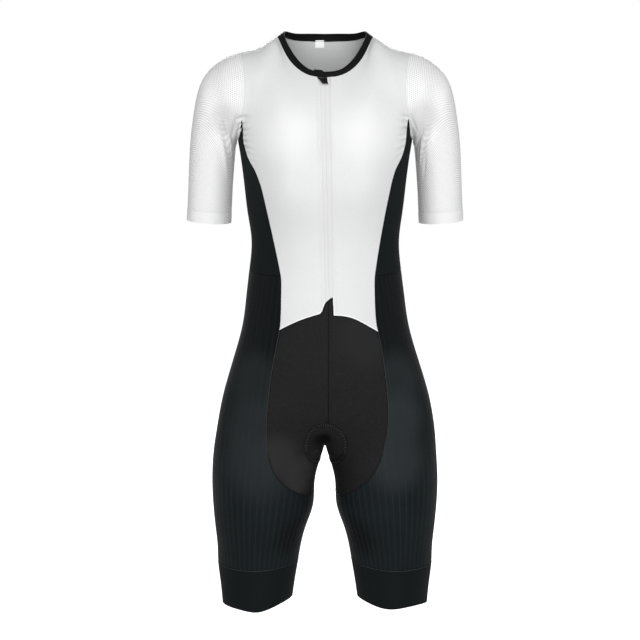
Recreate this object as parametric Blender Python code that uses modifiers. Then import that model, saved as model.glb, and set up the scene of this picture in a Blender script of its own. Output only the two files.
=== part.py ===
# Short-sleeved triathlon suit, filled out as worn with nobody in it.
# Metres, +Z up, front faces -Y, wearer's left at +X, origin at neck level.
# Every piece is a thin cloth panel cut from one smooth worn shape.
import math

import bmesh
import bpy
from mathutils import Matrix, Vector
from mathutils.bvhtree import BVHTree

MM = 0.001
WALL = 1.5            # cloth thickness, mm
SEAM = 0.3            # gap between two sewn pieces, mm
DETAIL = 1            # subdivision of the worn shape
ARMPIT_Z = -158.0     # level of the armpit
SPLIT_Z = -603.0      # level where the trunk becomes two legs
GRIP_Z = -827.5       # seam above the hem band
WAIST_Z = -356.0      # waist seam
TONGUE_Z = -376.0     # hidden top edge of the black crotch fronts
TUCK = 2.1            # how far that hidden part lies inside the white hem
ZIP_HALF = 6.5        # half width of the zip strip
SHOULDER_Y = 6.0      # the ridge of the shoulder

for old in list(bpy.data.objects):
    bpy.data.objects.remove(old, do_unlink=True)

# Trunk sections. half: half width; front, back: y at the centre; bust, seat: extra depth
# either side of the centre, for the bust, the thighs and the seat; square: superellipse
# power; shift: sideways shift of the whole section.
TRUNK = (
    # z, half, front, back, bust, seat, square, shift
    (ARMPIT_Z, 133.0, -98.5, 89.0, 6.0, 0.0, 2.3, 0.0),
    (-194.0, 127.5, -103.5, 90.0, 9.0, 0.0, 2.3, 0.0),
    (-232.0, 123.2, -103.0, 86.0, 9.0, 0.0, 2.3, 0.0),
    (-270.0, 118.8, -98.0, 80.0, 3.0, 0.0, 2.3, 0.0),
    (-310.0, 114.0, -93.0, 75.0, 0.0, 0.0, 2.3, 0.4),
    (-352.0, 117.2, -92.0, 77.0, 0.0, 1.0, 2.3, 0.3),
    (-396.0, 122.9, -95.0, 86.0, 0.0, 4.0, 2.35, 0.5),
    (-442.0, 129.6, -97.0, 95.0, 0.0, 8.0, 2.4, 0.9),
    (-490.0, 142.8, -97.0, 101.0, 0.0, 11.0, 2.45, 1.2),
    (-533.0, 156.0, -94.0, 102.0, 2.0, 12.0, 2.5, 1.6),
    (-568.0, 165.0, -88.5, 99.0, 5.0, 14.0, 2.6, 1.6),
    (SPLIT_Z, 171.8, -78.5, 91.0, 11.0, 15.0, 2.65, 1.2),
)

# Top ends of the body columns, centre first: neckline, side of neck, shoulder, arm tip.
# bulge: how far the column stands out halfway up.
FRONT_TOP = (
    # x, y, z, roundness, bulge
    (0.0, -61.0, -61.0, 0.0, 0.0),
    (29.0, -55.0, -56.0, 0.1, 0.0),
    (56.0, -33.0, -32.0, 0.35, 1.0),
    (72.5, SHOULDER_Y, -1.0, 0.9, 2.0),
    (96.0, SHOULDER_Y, -14.5, 1.0, 15.0),
)
BACK_TOP = (
    # x, y, z, roundness, bulge
    (0.0, 59.5, -7.0, 0.2, 0.0),
    (28.0, 56.5, -6.2, 0.2, 1.0),
    (53.0, 40.0, -3.6, 0.5, 5.0),
    (72.5, SHOULDER_Y, -1.0, 1.0, 8.0),
    (96.0, SHOULDER_Y, -14.5, 1.0, 17.0),
)

# The armhole from the armpit over the front, the shoulder and down the back.
ARMHOLE = (
    # x, y, z
    (133.5, 2.0, ARMPIT_Z),
    (129.0, -31.0, -147.0),
    (124.0, -52.0, -120.0),
    (119.5, -57.0, -88.0),
    (120.5, -47.0, -55.0),
    (125.0, -25.0, -32.0),
    (127.0, SHOULDER_Y, -23.5),
    (125.5, 34.0, -33.0),
    (121.0, 53.0, -56.0),
    (120.0, 59.0, -88.0),
    (124.0, 53.0, -120.0),
    (129.0, 33.0, -147.0),
)

# Sleeve rings, swinging from the armhole down to the cuff.
SLEEVE = (
    # outer x, outer z, inner x, inner z, front y, back y
    (149.5, -31.5, 135.0, -160.5, -57.0, 60.0),
    (172.5, -47.5, 136.0, -164.0, -54.0, 57.0),
    (190.5, -74.0, 137.0, -170.0, -51.0, 54.0),
    (200.5, -116.5, 138.2, -182.0, -48.5, 51.0),
    (206.8, -167.0, 140.0, -202.0, -47.0, 49.0),
    (210.0, -226.0, 142.5, -236.0, -46.0, 47.0),
    (213.0, -278.0, 145.0, -283.0, -45.0, 45.0),
)

# Crotch line between the legs, front to back.
CROTCH = (
    # y, z
    (-51.0, -623.0),
    (6.0, -632.5),
    (63.0, -621.0),
)

# Leg rings from the crotch down to the hem. lift: how much higher the inner side is;
# power: above 1 the front and back are more pointed than an ellipse.
LEG = (
    # z, outer x, inner x, front y, back y, lift, power
    (-648.0, 176.9, 4.0, -82.0, 93.0, 0.0, 0.92),
    (-690.0, 179.2, 15.5, -79.0, 88.0, 0.0, 0.93),
    (-730.0, 178.0, 18.0, -75.0, 79.5, 0.0, 0.96),
    (-766.0, 175.0, 29.0, -69.5, 70.5, 1.5, 1.0),
    (-800.0, 171.8, 37.5, -63.5, 63.0, 4.5, 1.05),
    (GRIP_Z, 171.0, 42.0, -59.0, 58.0, 7.0, 1.1),
    (-862.0, 167.3, 47.5, -56.0, 55.0, 9.5, 1.13),
    (-894.5, 164.5, 52.0, -54.0, 53.0, 11.0, 1.15),
)

# How much lower than its ring the hem hangs, by the column of the leg ring.
HEM_DROP = (
    # column, right leg, left leg
    (0, 1.2, 0.8),
    (1, 4.6, 2.4),
    (2, 5.8, 0.6),
    (3, 2.8, -2.6),
    (4, 0.4, -4.0),
    (5, 0.0, -2.2),
)

# Folded edge of the neck binding, centre front to centre back.
NECK_EDGE = (
    # x, y, z
    (0.0, -58.0, -53.0),
    (26.0, -52.5, -48.0),
    (49.5, -31.0, -24.0),
    (63.0, SHOULDER_Y, 4.8),
    (49.5, 38.0, 5.4),
    (26.5, 53.5, 4.8),
    (0.0, 57.0, 4.6),
)

# Seam between the front and the side and leg pieces, then round the crotch front
# to the inside of the thigh. The suit hangs a little to the wearer's left.
FRONT_SEAM = (
    # z, distance from the middle on the right and on the left
    (60.0, 160.0, 160.0),
    (-90.0, 150.0, 150.0),
    (-112.0, 131.0, 131.0),
    (-124.0, 124.5, 124.0),
    (-153.0, 123.5, 121.5),
    (-168.0, 120.0, 118.6),
    (-182.0, 115.0, 113.3),
    (-197.0, 105.8, 105.3),
    (-212.0, 99.2, 100.4),
    (-227.0, 94.2, 96.9),
    (-257.0, 87.4, 90.8),
    (-287.0, 80.8, 85.6),
    (-317.0, 74.4, 80.5),
    (-347.0, 68.2, 76.0),
    (-362.0, 66.0, 74.4),
    (-393.0, 66.2, 74.8),
    (-423.0, 67.2, 76.6),
    (-439.0, 69.0, 79.3),
    (-457.0, 72.4, 83.6),
    (-478.0, 76.3, 87.4),
    (-505.0, 81.4, 91.2),
    (-526.0, 84.3, 93.6),
    (-549.0, 86.8, 95.6),
    (-574.0, 88.9, 96.3),
    (-600.0, 89.6, 94.4),
    (-625.0, 87.6, 89.2),
    (-641.0, 85.0, 84.4),
    (-657.0, 79.8, 77.0),
    (-673.0, 70.8, 66.8),
    (-686.0, 58.6, 53.6),
    (-697.0, 45.0, 41.0),
    (-704.0, 33.6, 31.0),
    (-708.5, 24.0, 22.5),
    (-711.0, 0.0, 0.0),
)

# The same seam on the back.
BACK_SEAM = (
    # z, x
    (60.0, 160.0),
    (-90.0, 150.0),
    (-112.0, 134.0),
    (-130.0, 122.0),
    (-160.0, 113.0),
    (-200.0, 103.0),
    (-250.0, 92.0),
    (-300.0, 83.0),
    (-345.0, 79.0),
    (-400.0, 84.0),
    (-450.0, 93.0),
    (-500.0, 103.0),
    (-550.0, 110.0),
    (-600.0, 112.0),
    (-640.0, 108.0),
    (-670.0, 96.0),
    (-690.0, 76.0),
    (-702.0, 53.0),
    (-708.5, 30.0),
    (-711.0, 0.0),
)

# Edges of the zip strip; below the zip the right edge is the open edge of the left front.
ZIP_EDGE = (
    # z, left edge x, right edge x
    (-40.0, -ZIP_HALF, ZIP_HALF),
    (-90.0, -ZIP_HALF - 0.6, ZIP_HALF - 0.6),
    (-374.0, -0.3, 11.3),
    (-386.0, -0.1, 12.0),
    (-440.0, 0.8, 13.6),
)

# Arched hems of the white fronts; the right front rises to the end of the zip.
HEM_RIGHT = (
    # x, z
    (-84.0, -446.0),
    (-68.0, -436.0),
    (-52.0, -427.2),
    (-36.0, -419.7),
    (-14.0, -412.1),
    (-6.5, -409.4),
    (-3.2, -401.8),
    (-0.4, -394.8),
    (5.0, -389.6),
    (12.6, -385.6),
    (40.0, -385.6),
)
HEM_LEFT = (
    # x, z
    (-20.0, -412.0),
    (12.0, -412.8),
    (30.0, -414.4),
    (48.0, -420.4),
    (76.0, -437.3),
    (90.0, -447.0),
)

# Seam where the back comes over the shoulder onto the chest.
YOKE = (
    # x, z
    (40.0, -40.0),
    (57.0, -35.0),
    (75.0, -28.5),
    (100.0, -24.0),
    (130.0, -23.0),
)

# Soft folds pressed in (negative) or standing out along short lines, in mm.
FOLDS = (
    # x1, y1, z1, x2, y2, z2, width, depth
    (149.0, -38.0, -129.0, 145.0, -42.0, -188.0, 5.0, -2.2),
    (156.0, -40.0, -128.0, 150.0, -44.0, -200.0, 6.0, 1.6),
    (-156.0, -40.0, -128.0, -146.0, -42.0, -196.0, 6.0, -2.0),
    (-164.0, -40.0, -126.0, -155.0, -44.0, -200.0, 7.0, 1.4),
    (150.0, 48.0, -126.0, 147.0, 46.0, -180.0, 7.0, -1.8),
    (-150.0, 48.0, -130.0, -149.0, 46.0, -190.0, 7.0, -2.0),
    (118.0, -50.0, -136.0, 96.0, -84.0, -129.0, 6.0, -1.2),
    (-118.0, -50.0, -134.0, -98.0, -82.0, -124.0, 6.0, -1.3),
    (117.0, -52.0, -152.0, 98.0, -84.0, -146.0, 5.0, -1.0),
    (-117.0, -52.0, -150.0, -96.0, -84.0, -142.0, 5.0, -1.1),
)


def between(table, value, column):
    """Read a column of a table at a value of its first column, straight between rows."""
    rows = sorted(table, key=lambda row: row[0])
    if value <= rows[0][0]:
        return rows[0][column]
    for low, high in zip(rows, rows[1:]):
        if value <= high[0]:
            share = (value - low[0]) / (high[0] - low[0])
            return low[column] + share * (high[column] - low[column])
    return rows[-1][column]


def smooth(value, low, high):
    share = min(1.0, max(0.0, (value - low) / (high - low)))
    return share * share * (3.0 - 2.0 * share)


def power(value, exponent):
    return math.copysign(abs(value) ** exponent, value)


def trunk_point(row, column):
    """A point of a trunk section; column 0 is the centre front, 6 the left side."""
    z, half, front, back, bust, seat, square, shift = row
    angle = math.radians(15.0 * column)
    across, along = math.sin(angle), math.cos(angle)
    x = half * power(across, 2.0 / square)
    reach = abs(along) ** (2.0 / square)
    if along > 0.0:
        aside, wide = (62.0, 32.0) if z > -400.0 else (95.0, 58.0)
        y = front * reach - bust * math.exp(-((abs(x) - aside) / wide) ** 2)
    else:
        y = back * reach + seat * math.exp(-((abs(x) - 88.0) / 58.0) ** 2)
    if z == SPLIT_Z:
        z += 9.0 * abs(along) ** 3 - 4.0 * abs(across)
    return Vector((x + shift, y, z))


def body_point(step, column, top, low):
    """A point of the chest or back, step 0 to 5 from armpit level to the top edge."""
    x, y, z, roundness, bulge = top
    angle = math.radians(18.0 * step)
    even = step / 5.0
    rise = even + roundness * (math.sin(angle) - even)
    flat = 1.0 - even ** 1.4
    arc = flat + roundness * (math.cos(angle) - flat)
    out = math.copysign(bulge * math.sin(2.0 * angle), low.y)
    return Vector((low.x + (x - low.x) * rise, y + (low.y - y) * arc + out,
                   low.z + (z - low.z) * rise))


def mirrored(point):
    return Vector((-point.x, point.y, point.z))


class Cage:
    """The coarse quad net whose smooth surface is the worn suit."""

    def __init__(self):
        self.points, self.faces, self.zones, self.index = [], [], [], {}

    def put(self, key, point):
        self.index[key] = len(self.points)
        self.points.append(Vector(point))

    def quad(self, zone, *keys):
        self.faces.append([self.index[key] for key in keys])
        self.zones.append(zone)


ZONES = ("trunk", "chest", "shoulders", "binding", "sleeve_left", "sleeve_right",
         "leg_left", "leg_right")


def build_cage():
    cage = Cage()
    last = len(TRUNK) - 1
    for r, row in enumerate(TRUNK):
        for c in range(24):
            point = trunk_point(row, c)
            if r == 0 and c in (5, 7):
                point = Vector(ARMHOLE[1 if c == 5 else 11])
            elif r == 0 and c in (19, 17):
                point = mirrored(Vector(ARMHOLE[1 if c == 19 else 11]))
            elif r == 0 and c in (6, 18):
                point = Vector(ARMHOLE[0]) if c == 6 else mirrored(Vector(ARMHOLE[0]))
            cage.put(("t", r, c), point)
    for r in range(last):
        for c in range(24):
            d = (c + 1) % 24
            cage.quad(0, ("t", r, c), ("t", r + 1, c), ("t", r + 1, d), ("t", r, d))

    def key(step, column):
        if step == 0:
            return ("t", 0, column % 24)
        if step == 5 and column % 24 in (7, 8, 9):
            return ("b", 5, 12 - column)
        if step == 5 and column % 24 in (15, 16, 17):
            return ("b", 5, 36 - column)
        return ("b", step, column % 24)

    for step in range(1, 6):
        for c in range(6):
            low = cage.points[cage.index[("t", 0, c)]]
            point = body_point(step, c, FRONT_TOP[c], low) if c < 5 else Vector(ARMHOLE[step + 1])
            cage.put(("b", step, c), point)
            if c:
                cage.put(("b", step, 24 - c), mirrored(point))
        for c in range(6):
            if step == 5 and c > 2:
                continue
            low = cage.points[cage.index[("t", 0, 12 - c)]]
            point = body_point(step, c, BACK_TOP[c], low) if c < 5 else Vector(ARMHOLE[11 - step])
            cage.put(("b", step, 12 - c), point)
            if c:
                cage.put(("b", step, 12 + c), mirrored(point))
    for step in range(5):
        for c in list(range(5)) + list(range(7, 17)) + list(range(19, 24)):
            zone = 1 if c < 5 or c > 18 else 2
            keys = (key(step + 1, c), key(step, c), key(step, c + 1), key(step + 1, c + 1))
            cage.quad(zone, *keys)

    loop = [key(5, c) for c in (0, 1, 2, 3)] + [key(5, c) for c in (10, 11, 12, 13, 14)]
    loop += [key(5, c) for c in (21, 22, 23)]
    for k in range(12):
        x, y, z = NECK_EDGE[k] if k < 7 else NECK_EDGE[12 - k]
        cage.put(("n", k), (x if k < 7 else -x, y, z))
    for k in range(12):
        d = (k + 1) % 12
        cage.quad(3, ("n", k), loop[k], loop[d], ("n", d))

    for side, sign in (("left", 1.0), ("right", -1.0)):
        c0, cf, cb = (6, 5, 7) if sign > 0.0 else (18, 19, 17)
        ring = [("t", 0, c0), ("t", 0, cf)] + [key(s, cf) for s in (1, 2, 3, 4, 5)]
        ring += [key(s, cb) for s in (4, 3, 2, 1)] + [("t", 0, cb)]
        for r, (ox, oz, ix, iz, front, back) in enumerate(SLEEVE):
            middle, swing = (front + back) / 2.0, (back - front) / 2.0
            for k in range(12):
                angle = math.radians(30.0 * k)
                share = (1.0 - math.cos(angle)) / 2.0
                bulge = 1.0 + 0.05 * math.sin(2.0 * angle) ** 2
                x = ix + (ox - ix) * share
                z = iz + (oz - iz) * share
                y = middle - swing * math.sin(angle) * bulge
                cage.put((side, r, k), (sign * x, y, z))
        rings = [ring] + [[(side, r, k) for k in range(12)] for r in range(len(SLEEVE))]
        for upper, lower in zip(rings, rings[1:]):
            for k in range(12):
                d = (k + 1) % 12
                keys = (upper[k], lower[k], lower[d], upper[d])
                cage.quad(4 if sign > 0.0 else 5, *(keys if sign > 0.0 else keys[::-1]))

    for j, (y, z) in enumerate(CROTCH):
        cage.put(("c", j), (0.0, y, z))
    for side, sign in (("l", 1.0), ("m", -1.0)):
        drop = {row[0]: row[2 if sign > 0.0 else 1] for row in HEM_DROP}
        columns = range(13) if sign > 0.0 else [(24 - c) % 24 for c in range(13)]
        ring = [("t", last, c) for c in columns] + [("c", 2), ("c", 1), ("c", 0)]
        for r, (z, outer, inner, front, back, lift, bend) in enumerate(LEG):
            middle, half = (outer + inner) / 2.0, (outer - inner) / 2.0
            for k in range(16):
                angle = math.radians(22.5 * (k - 6))
                x = middle + half * power(math.cos(angle), bend)
                y = (front + back) / 2.0 + (back - front) / 2.0 * power(math.sin(angle), bend)
                up = lift * (1.0 - math.cos(angle)) / 2.0
                if r == len(LEG) - 1:
                    up -= drop.get(k, 0.0)
                cage.put((side, r, k), (sign * x, y, z + up))
        rings = [ring] + [[(side, r, k) for k in range(16)] for r in range(len(LEG))]
        for upper, lower in zip(rings, rings[1:]):
            for k in range(16):
                d = (k + 1) % 16
                keys = (upper[k], lower[k], lower[d], upper[d])
                cage.quad(6 if sign > 0.0 else 7, *(keys if sign > 0.0 else keys[::-1]))
    return cage


def fit_cage(cage, rounds=8):
    """Move the net so that its smooth surface passes through the wanted points."""
    count = len(cage.points)
    edges, diagonals, uses = [set() for _ in range(count)], [[] for _ in range(count)], {}
    for face in cage.faces:
        for i in range(4):
            a, b = face[i], face[(i + 1) % 4]
            edges[a].add(b)
            edges[b].add(a)
            diagonals[a].append(face[(i + 2) % 4])
            uses[frozenset((a, b))] = uses.get(frozenset((a, b)), 0) + 1
    rim = [[] for _ in range(count)]
    for pair, times in uses.items():
        if times == 1:
            a, b = pair
            rim[a].append(b)
            rim[b].append(a)
    wanted = [point.copy() for point in cage.points]
    points = cage.points
    for _ in range(rounds):
        moved = []
        for i in range(count):
            if rim[i]:
                limit = (points[i] * 4.0 + points[rim[i][0]] + points[rim[i][1]]) / 6.0
            else:
                n = len(edges[i])
                limit = points[i] * n * n
                for j in edges[i]:
                    limit = limit + points[j] * 4.0
                for j in diagonals[i]:
                    limit = limit + points[j]
                limit = limit / (n * (n + 5.0))
            moved.append(points[i] + (wanted[i] - limit))
        points = moved
    cage.points = points


def worn_surface(detail):
    """The worn suit as one open quad mesh in mm; faces keep their zone number."""
    cage = build_cage()
    fit_cage(cage)
    mesh = bpy.data.meshes.new("worn")
    mesh.from_pydata([tuple(point) for point in cage.points], [], cage.faces)
    holder = bpy.data.objects.new("worn", mesh)
    bpy.context.scene.collection.objects.link(holder)
    for _ in ZONES:
        mesh.materials.append(None)
    mesh.polygons.foreach_set("material_index", cage.zones)
    levels = holder.modifiers.new("levels", "SUBSURF")
    levels.levels = detail
    levels.render_levels = detail
    graph = bpy.context.evaluated_depsgraph_get()
    bm = bmesh.new()
    bm.from_object(holder, graph)
    bpy.data.objects.remove(holder, do_unlink=True)
    bm.normal_update()
    return bm


def press_folds(bm):
    for v in bm.verts:
        move = 0.0
        for x1, y1, z1, x2, y2, z2, width, depth in FOLDS:
            a, b = Vector((x1, y1, z1)), Vector((x2, y2, z2))
            share = min(1.0, max(0.0, (v.co - a).dot(b - a) / (b - a).length_squared))
            away = (v.co - a.lerp(b, share)).length
            move += depth * math.exp(-(away / width) ** 2)
        if abs(move) > 0.02:
            v.co += v.normal * move
    bm.normal_update()


def seam_field(table, column):
    """Signed distance, in the front view, to a seam given as z and a column of x."""
    rows = [Vector((row[column], row[0])) for row in table]

    def field(x, z):
        point = Vector((abs(x), z))
        best, inside = 1e9, False
        for a, b in zip(rows, rows[1:]):
            share = min(1.0, max(0.0, (point - a).dot(b - a) / (b - a).length_squared))
            best = min(best, (point - a.lerp(b, share)).length)
            if (a.y > point.y) != (b.y > point.y):
                cross = a.x + (point.y - a.y) * (b.x - a.x) / (b.y - a.y)
                inside = inside or point.x < cross
        return -best if inside else best
    return field


front_seam_right = seam_field(FRONT_SEAM, 1)
front_seam_left = seam_field(FRONT_SEAM, 2)
back_seam = seam_field(BACK_SEAM, 1)


def body_seam(p):
    share = smooth(p.y, -14.0, 14.0)
    front = front_seam_left if p.x > 0.0 else front_seam_right
    return front(p.x, p.z) * (1.0 - share) + back_seam(p.x, p.z) * share


# The gusset as an ellipsoid: its middle (x, z) and its half sizes in x, y and z.
GUSSET_MIDDLE = (1.0, -618.5)
GUSSET_HALF = (34.5, 152.0, 42.0)


def gusset_edge(p):
    scale = math.sqrt(max(0.05, 1.0 - (p.y / GUSSET_HALF[1]) ** 2))
    return math.hypot((p.x - GUSSET_MIDDLE[0]) / (GUSSET_HALF[0] * scale),
                      (p.z - GUSSET_MIDDLE[1]) / (GUSSET_HALF[2] * scale)) - 1.0


def leg_middle_y(z):
    rows = [(row[0], (row[3] + row[4]) / 2.0) for row in LEG]
    return between(rows, z, 1)


def zip_left(p):
    return p.x - between(ZIP_EDGE, p.z, 1)


def zip_right(p):
    return p.x - between(ZIP_EDGE, p.z, 2)


def zip_middle(p):
    return (zip_left(p) + zip_right(p)) / 2.0


def crotch_middle(p):
    return p.x - 5.0 * smooth(p.z, -640.0, -590.0)


def hem_right(p):
    return p.z - between(HEM_RIGHT, p.x, 1)


def hem_left(p):
    return p.z - between(HEM_LEFT, p.x, 1)


def yoke_edge(p):
    return p.z - between(YOKE, abs(p.x), 1)


def grip_edge(p):
    return p.z - GRIP_Z - 5.0 * (171.0 - abs(p.x)) / 129.0


def level(z):
    return lambda p: p.z - z


def cut(bm, field, where, snap=0.22, pinned=None):
    """Draw the line where field is zero into the mesh, inside the faces of where."""
    faces = [f for f in bm.faces if where(f.calc_center_median())]
    verts = {v for f in faces for v in f.verts}
    edges = {e for f in faces for e in f.edges}
    value = {v: field(v.co) for v in verts}
    nearest = {}
    for e in edges:
        a, b = e.verts
        if value[a] * value[b] >= 0.0:
            continue
        share = value[a] / (value[a] - value[b])
        for v, other, part in ((a, b, share), (b, a, 1.0 - share)):
            limit = 0.03 if v in pinned else snap
            if part < limit and (v not in nearest or part < nearest[v][0]):
                nearest[v] = (part, v.co.lerp(other.co, part))
    for v, (part, place) in nearest.items():
        if v not in pinned:
            v.co = place
        value[v] = 0.0
        pinned.add(v)
    for e in list(edges):
        a, b = e.verts
        if value[a] * value[b] < 0.0:
            share = value[a] / (value[a] - value[b])
            _, v = bmesh.utils.edge_split(e, a, share)
            value[v] = 0.0
            pinned.add(v)
    todo = list(faces)
    while todo:
        face = todo.pop()
        ring = list(face.verts)
        signs = [0 if abs(value[v]) < 1e-9 else math.copysign(1, value[v]) for v in ring]
        if 1 not in signs or -1 not in signs:
            continue
        zeros = [i for i, s in enumerate(signs) if s == 0]
        for i in zeros:
            for j in zeros:
                if j - i < 2 or (i == 0 and j == len(ring) - 1):
                    continue
                inner = set(signs[i + 1:j]) - {0}
                outer = set(signs[j + 1:] + signs[:i]) - {0}
                if len(inner) == 1 and len(outer) == 1 and inner != outer:
                    new, _ = bmesh.utils.face_split(face, ring[i], ring[j])
                    break
            else:
                continue
            break


def sum_of(face, field):
    return sum(field(v.co) for v in face.verts)


def draw_seams(bm):
    pinned = set()

    def draw(field, where, snap=0.22):
        cut(bm, field, where, snap, pinned)

    def near_zip(p):
        return p.y < -20.0 and abs(p.x) < 40.0

    draw(grip_edge, lambda p: p.z < -760.0)
    draw(level(WAIST_Z), lambda p: -420.0 < p.z < -300.0)
    draw(body_seam, lambda p: p.z < -60.0 and abs(p.x) < 134.0)
    draw(gusset_edge, crotch_zone)
    draw(lambda p: p.y - leg_middle_y(p.z), lambda p: p.z < -600.0 and abs(p.x) < 110.0)
    draw(zip_right, lambda p: near_zip(p) and p.z > -430.0, 0.15)
    draw(hem_right, lambda p: p.y < -20.0 and p.x > -90.0 and zip_right(p) < 0.0
         and -470.0 < p.z < -370.0)
    draw(hem_left, lambda p: p.y < -20.0 and p.x < 90.0 and zip_right(p) > 0.0
         and -470.0 < p.z < -395.0)
    draw(level(TONGUE_Z), lambda p: p.y < -20.0 and abs(p.x) < 82.0
         and -400.0 < p.z < -340.0)
    above_hem = lambda p: near_zip(p) and hem_right(p) > -4.0
    draw(zip_left, above_hem, 0.15)
    draw(zip_middle, above_hem, 0.15)
    draw(crotch_middle, lambda p: near_zip(p) and -640.0 < p.z < -370.0)
    draw(yoke_edge, lambda p: p.y < 0.0 and p.z > -60.0 and abs(p.x) < 134.0)
    bmesh.ops.triangulate(bm, faces=bm.faces, quad_method="SHORT_EDGE", ngon_method="BEAUTY")
    bm.normal_update()


def labels_of(face):
    """The names of the pieces a face belongs to; the hem lies over the crotch fronts."""
    p = face.calc_center_median()
    side = "left" if p.x > 0.0 else "right"
    zone = ZONES[face.material_index]
    if zone == "binding":
        return ["neck_binding"]
    if zone.startswith("sleeve"):
        return ["sleeve_" + side]
    if p.z < -600.0 and sum_of(face, grip_edge) < 0.0:
        return ["gripper_" + side]
    if crotch_zone(p) and sum_of(face, gusset_edge) < 0.0:
        return ["crotch_gusset"]
    above_waist = sum_of(face, level(WAIST_Z)) > 0.0
    if p.z < -60.0 and sum_of(face, body_seam) > 0.0:
        return [("side_" if above_waist else "leg_") + side]
    if p.z < -560.0:
        is_front = sum_of(face, lambda q: q.y - leg_middle_y(q.z)) < 0.0
    else:
        is_front = zone == "chest" or (zone == "trunk" and p.y < 0.0)
    if not is_front:
        return ["back" if above_waist else "seat"]
    if p.z > -60.0 and sum_of(face, yoke_edge) > 0.0:
        return ["back"]
    names = []
    if sum_of(face, level(TONGUE_Z)) < 0.0:
        names.append("lower_front_" + ("left" if sum_of(face, crotch_middle) > 0.0 else "right"))
    if sum_of(face, zip_right) > 0.0:
        if sum_of(face, hem_left) > 0.0:
            names.append("front_left")
    elif sum_of(face, hem_right) > 0.0:
        if sum_of(face, zip_left) < 0.0:
            names.append("front_right")
        else:
            left = sum_of(face, zip_middle) > 0.0
            names.append("zip_tape_" + ("left" if left else "right"))
    return names


def crotch_zone(p):
    return abs(p.x) < 75.0 and -700.0 < p.z < -540.0


def sleeve_middle_y(z):
    rows = [(row[3], (row[4] + row[5]) / 2.0) for row in SLEEVE]
    return between(rows, z, 1)


def inseam_side(face):
    """Which side of its own closing seam a face lies on, for the pieces sewn to a ring."""
    zone = ZONES[face.material_index]
    if zone == "binding":
        return sum_of(face, zip_right) > 0.0
    if zone.startswith("sleeve"):
        return sum_of(face, lambda q: q.y - sleeve_middle_y(q.z)) > 0.0
    return sum_of(face, lambda q: q.y - leg_middle_y(q.z)) > 0.0


def on_inner_line(name, edge):
    """Whether an edge is on the side of a tube piece where its closing seam runs."""
    m = (edge.verts[0].co + edge.verts[1].co) / 2.0
    if name == "neck_binding":
        return m.y < 0.0 and abs(m.x) < 20.0
    if name.startswith("sleeve"):
        return 120.0 < abs(m.x) < 160.0 and m.z < -150.0
    return abs(m.x) < 100.0 and m.z < -640.0


TUBES = ("sleeve_left", "sleeve_right", "leg_left", "leg_right", "gripper_left",
         "gripper_right", "neck_binding")


def gather(bm):
    """Sort the faces by piece: {name: list of faces}."""
    pieces = {}
    for face in bm.faces:
        for name in labels_of(face):
            pieces.setdefault(name, []).append(face)
    return pieces


def open_tube(name, panel, halves):
    """Open a tube piece along its closing seam."""
    seam = []
    for e in panel.edges:
        if len(e.link_faces) == 2 and on_inner_line(name, e):
            a, b = e.link_faces
            if halves[a] != halves[b]:
                seam.append(e)
    if seam:
        bmesh.ops.split_edges(panel, edges=seam)


def panel_mesh(name, faces):
    """One piece as an open sheet, drawn back from its seams."""
    panel = bmesh.new()
    keep = panel.verts.layers.float_vector.new("out")
    made, halves = {}, {}
    for face in faces:
        for v in face.verts:
            if v not in made:
                made[v] = panel.verts.new(v.co)
                made[v][keep] = v.normal
        copy = panel.faces.new([made[v] for v in face.verts])
        halves[copy] = inseam_side(face)
    if name in TUBES:
        open_tube(name, panel, halves)
    moves = {}
    for v in panel.verts:
        rims = [e for e in v.link_edges if len(e.link_faces) == 1]
        if len(rims) < 2:
            continue
        inward = []
        for e in rims:
            face = e.link_faces[0]
            along = (e.verts[1].co - e.verts[0].co).normalized()
            into = face.calc_center_median() - e.verts[0].co
            into -= along * into.dot(along)
            inward.append((into - v[keep] * into.dot(v[keep])).normalized())
        total = inward[0] + inward[1]
        moves[v] = total * (SEAM / 2.0) / max(0.35, 1.0 + inward[0].dot(inward[1]))
    for v, move in moves.items():
        v.co += move
    return panel, keep


def shift_of(name, p):
    """How far a piece lies outside (+) or inside (-) the worn surface."""
    if name.startswith("lower_front"):
        beside = smooth(zip_right(p), -9.0, -1.0)
        return -TUCK * max(smooth(hem_right(p), -16.0, -1.5),
                           smooth(hem_left(p), -16.0, -1.5) * beside)
    if name.startswith("zip_tape"):
        return -0.4
    if name == "neck_binding":
        return 0.5
    return 0.0


RIM_LEAN = Vector((0.37, 0.11, 1.0))


def thicken(panel, keep, name, wall):
    """Give the sheet its wall on the inside and close the rim."""
    outer, inner = {}, {}
    solid = bmesh.new()
    for v in panel.verts:
        out = v[keep].normalized()
        base = v.co + out * shift_of(name, v.co)
        outer[v] = solid.verts.new(base * MM)
        inner[v] = solid.verts.new((base - out * wall) * MM)
    for face in panel.faces:
        solid.faces.new([outer[v] for v in face.verts])
        solid.faces.new([inner[v] for v in reversed(face.verts)])
    for e in panel.edges:
        if len(e.link_faces) == 1:
            a, b = e.verts
            loop = [lp for lp in e.link_faces[0].loops if lp.edge == e][0]
            if loop.vert != a:
                a, b = b, a
            lean = (b.co - a.co).dot(RIM_LEAN) > 0.0
            solid.faces.new([outer[b], outer[a], inner[b] if lean else inner[a]])
            solid.faces.new([outer[a] if lean else outer[b], inner[a], inner[b]])
    return solid


COLOURS = {
    "white": (0.80, 0.81, 0.81, 1.0),
    "black": (0.012, 0.014, 0.015, 1.0),
    "ribbed": (0.018, 0.022, 0.026, 1.0),
    "grey": (0.55, 0.56, 0.56, 1.0),
}


def colour_of(name):
    if name.startswith(("front", "back", "sleeve", "size_label")):
        return "white"
    if name.startswith("leg"):
        return "ribbed"
    if name.startswith("zip_tape"):
        return "grey"
    return "black"


SHARP_ANGLE = math.radians(40.0)

suit = bpy.data.collections.new("triathlon_suit")
bpy.context.scene.collection.children.link(suit)


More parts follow.
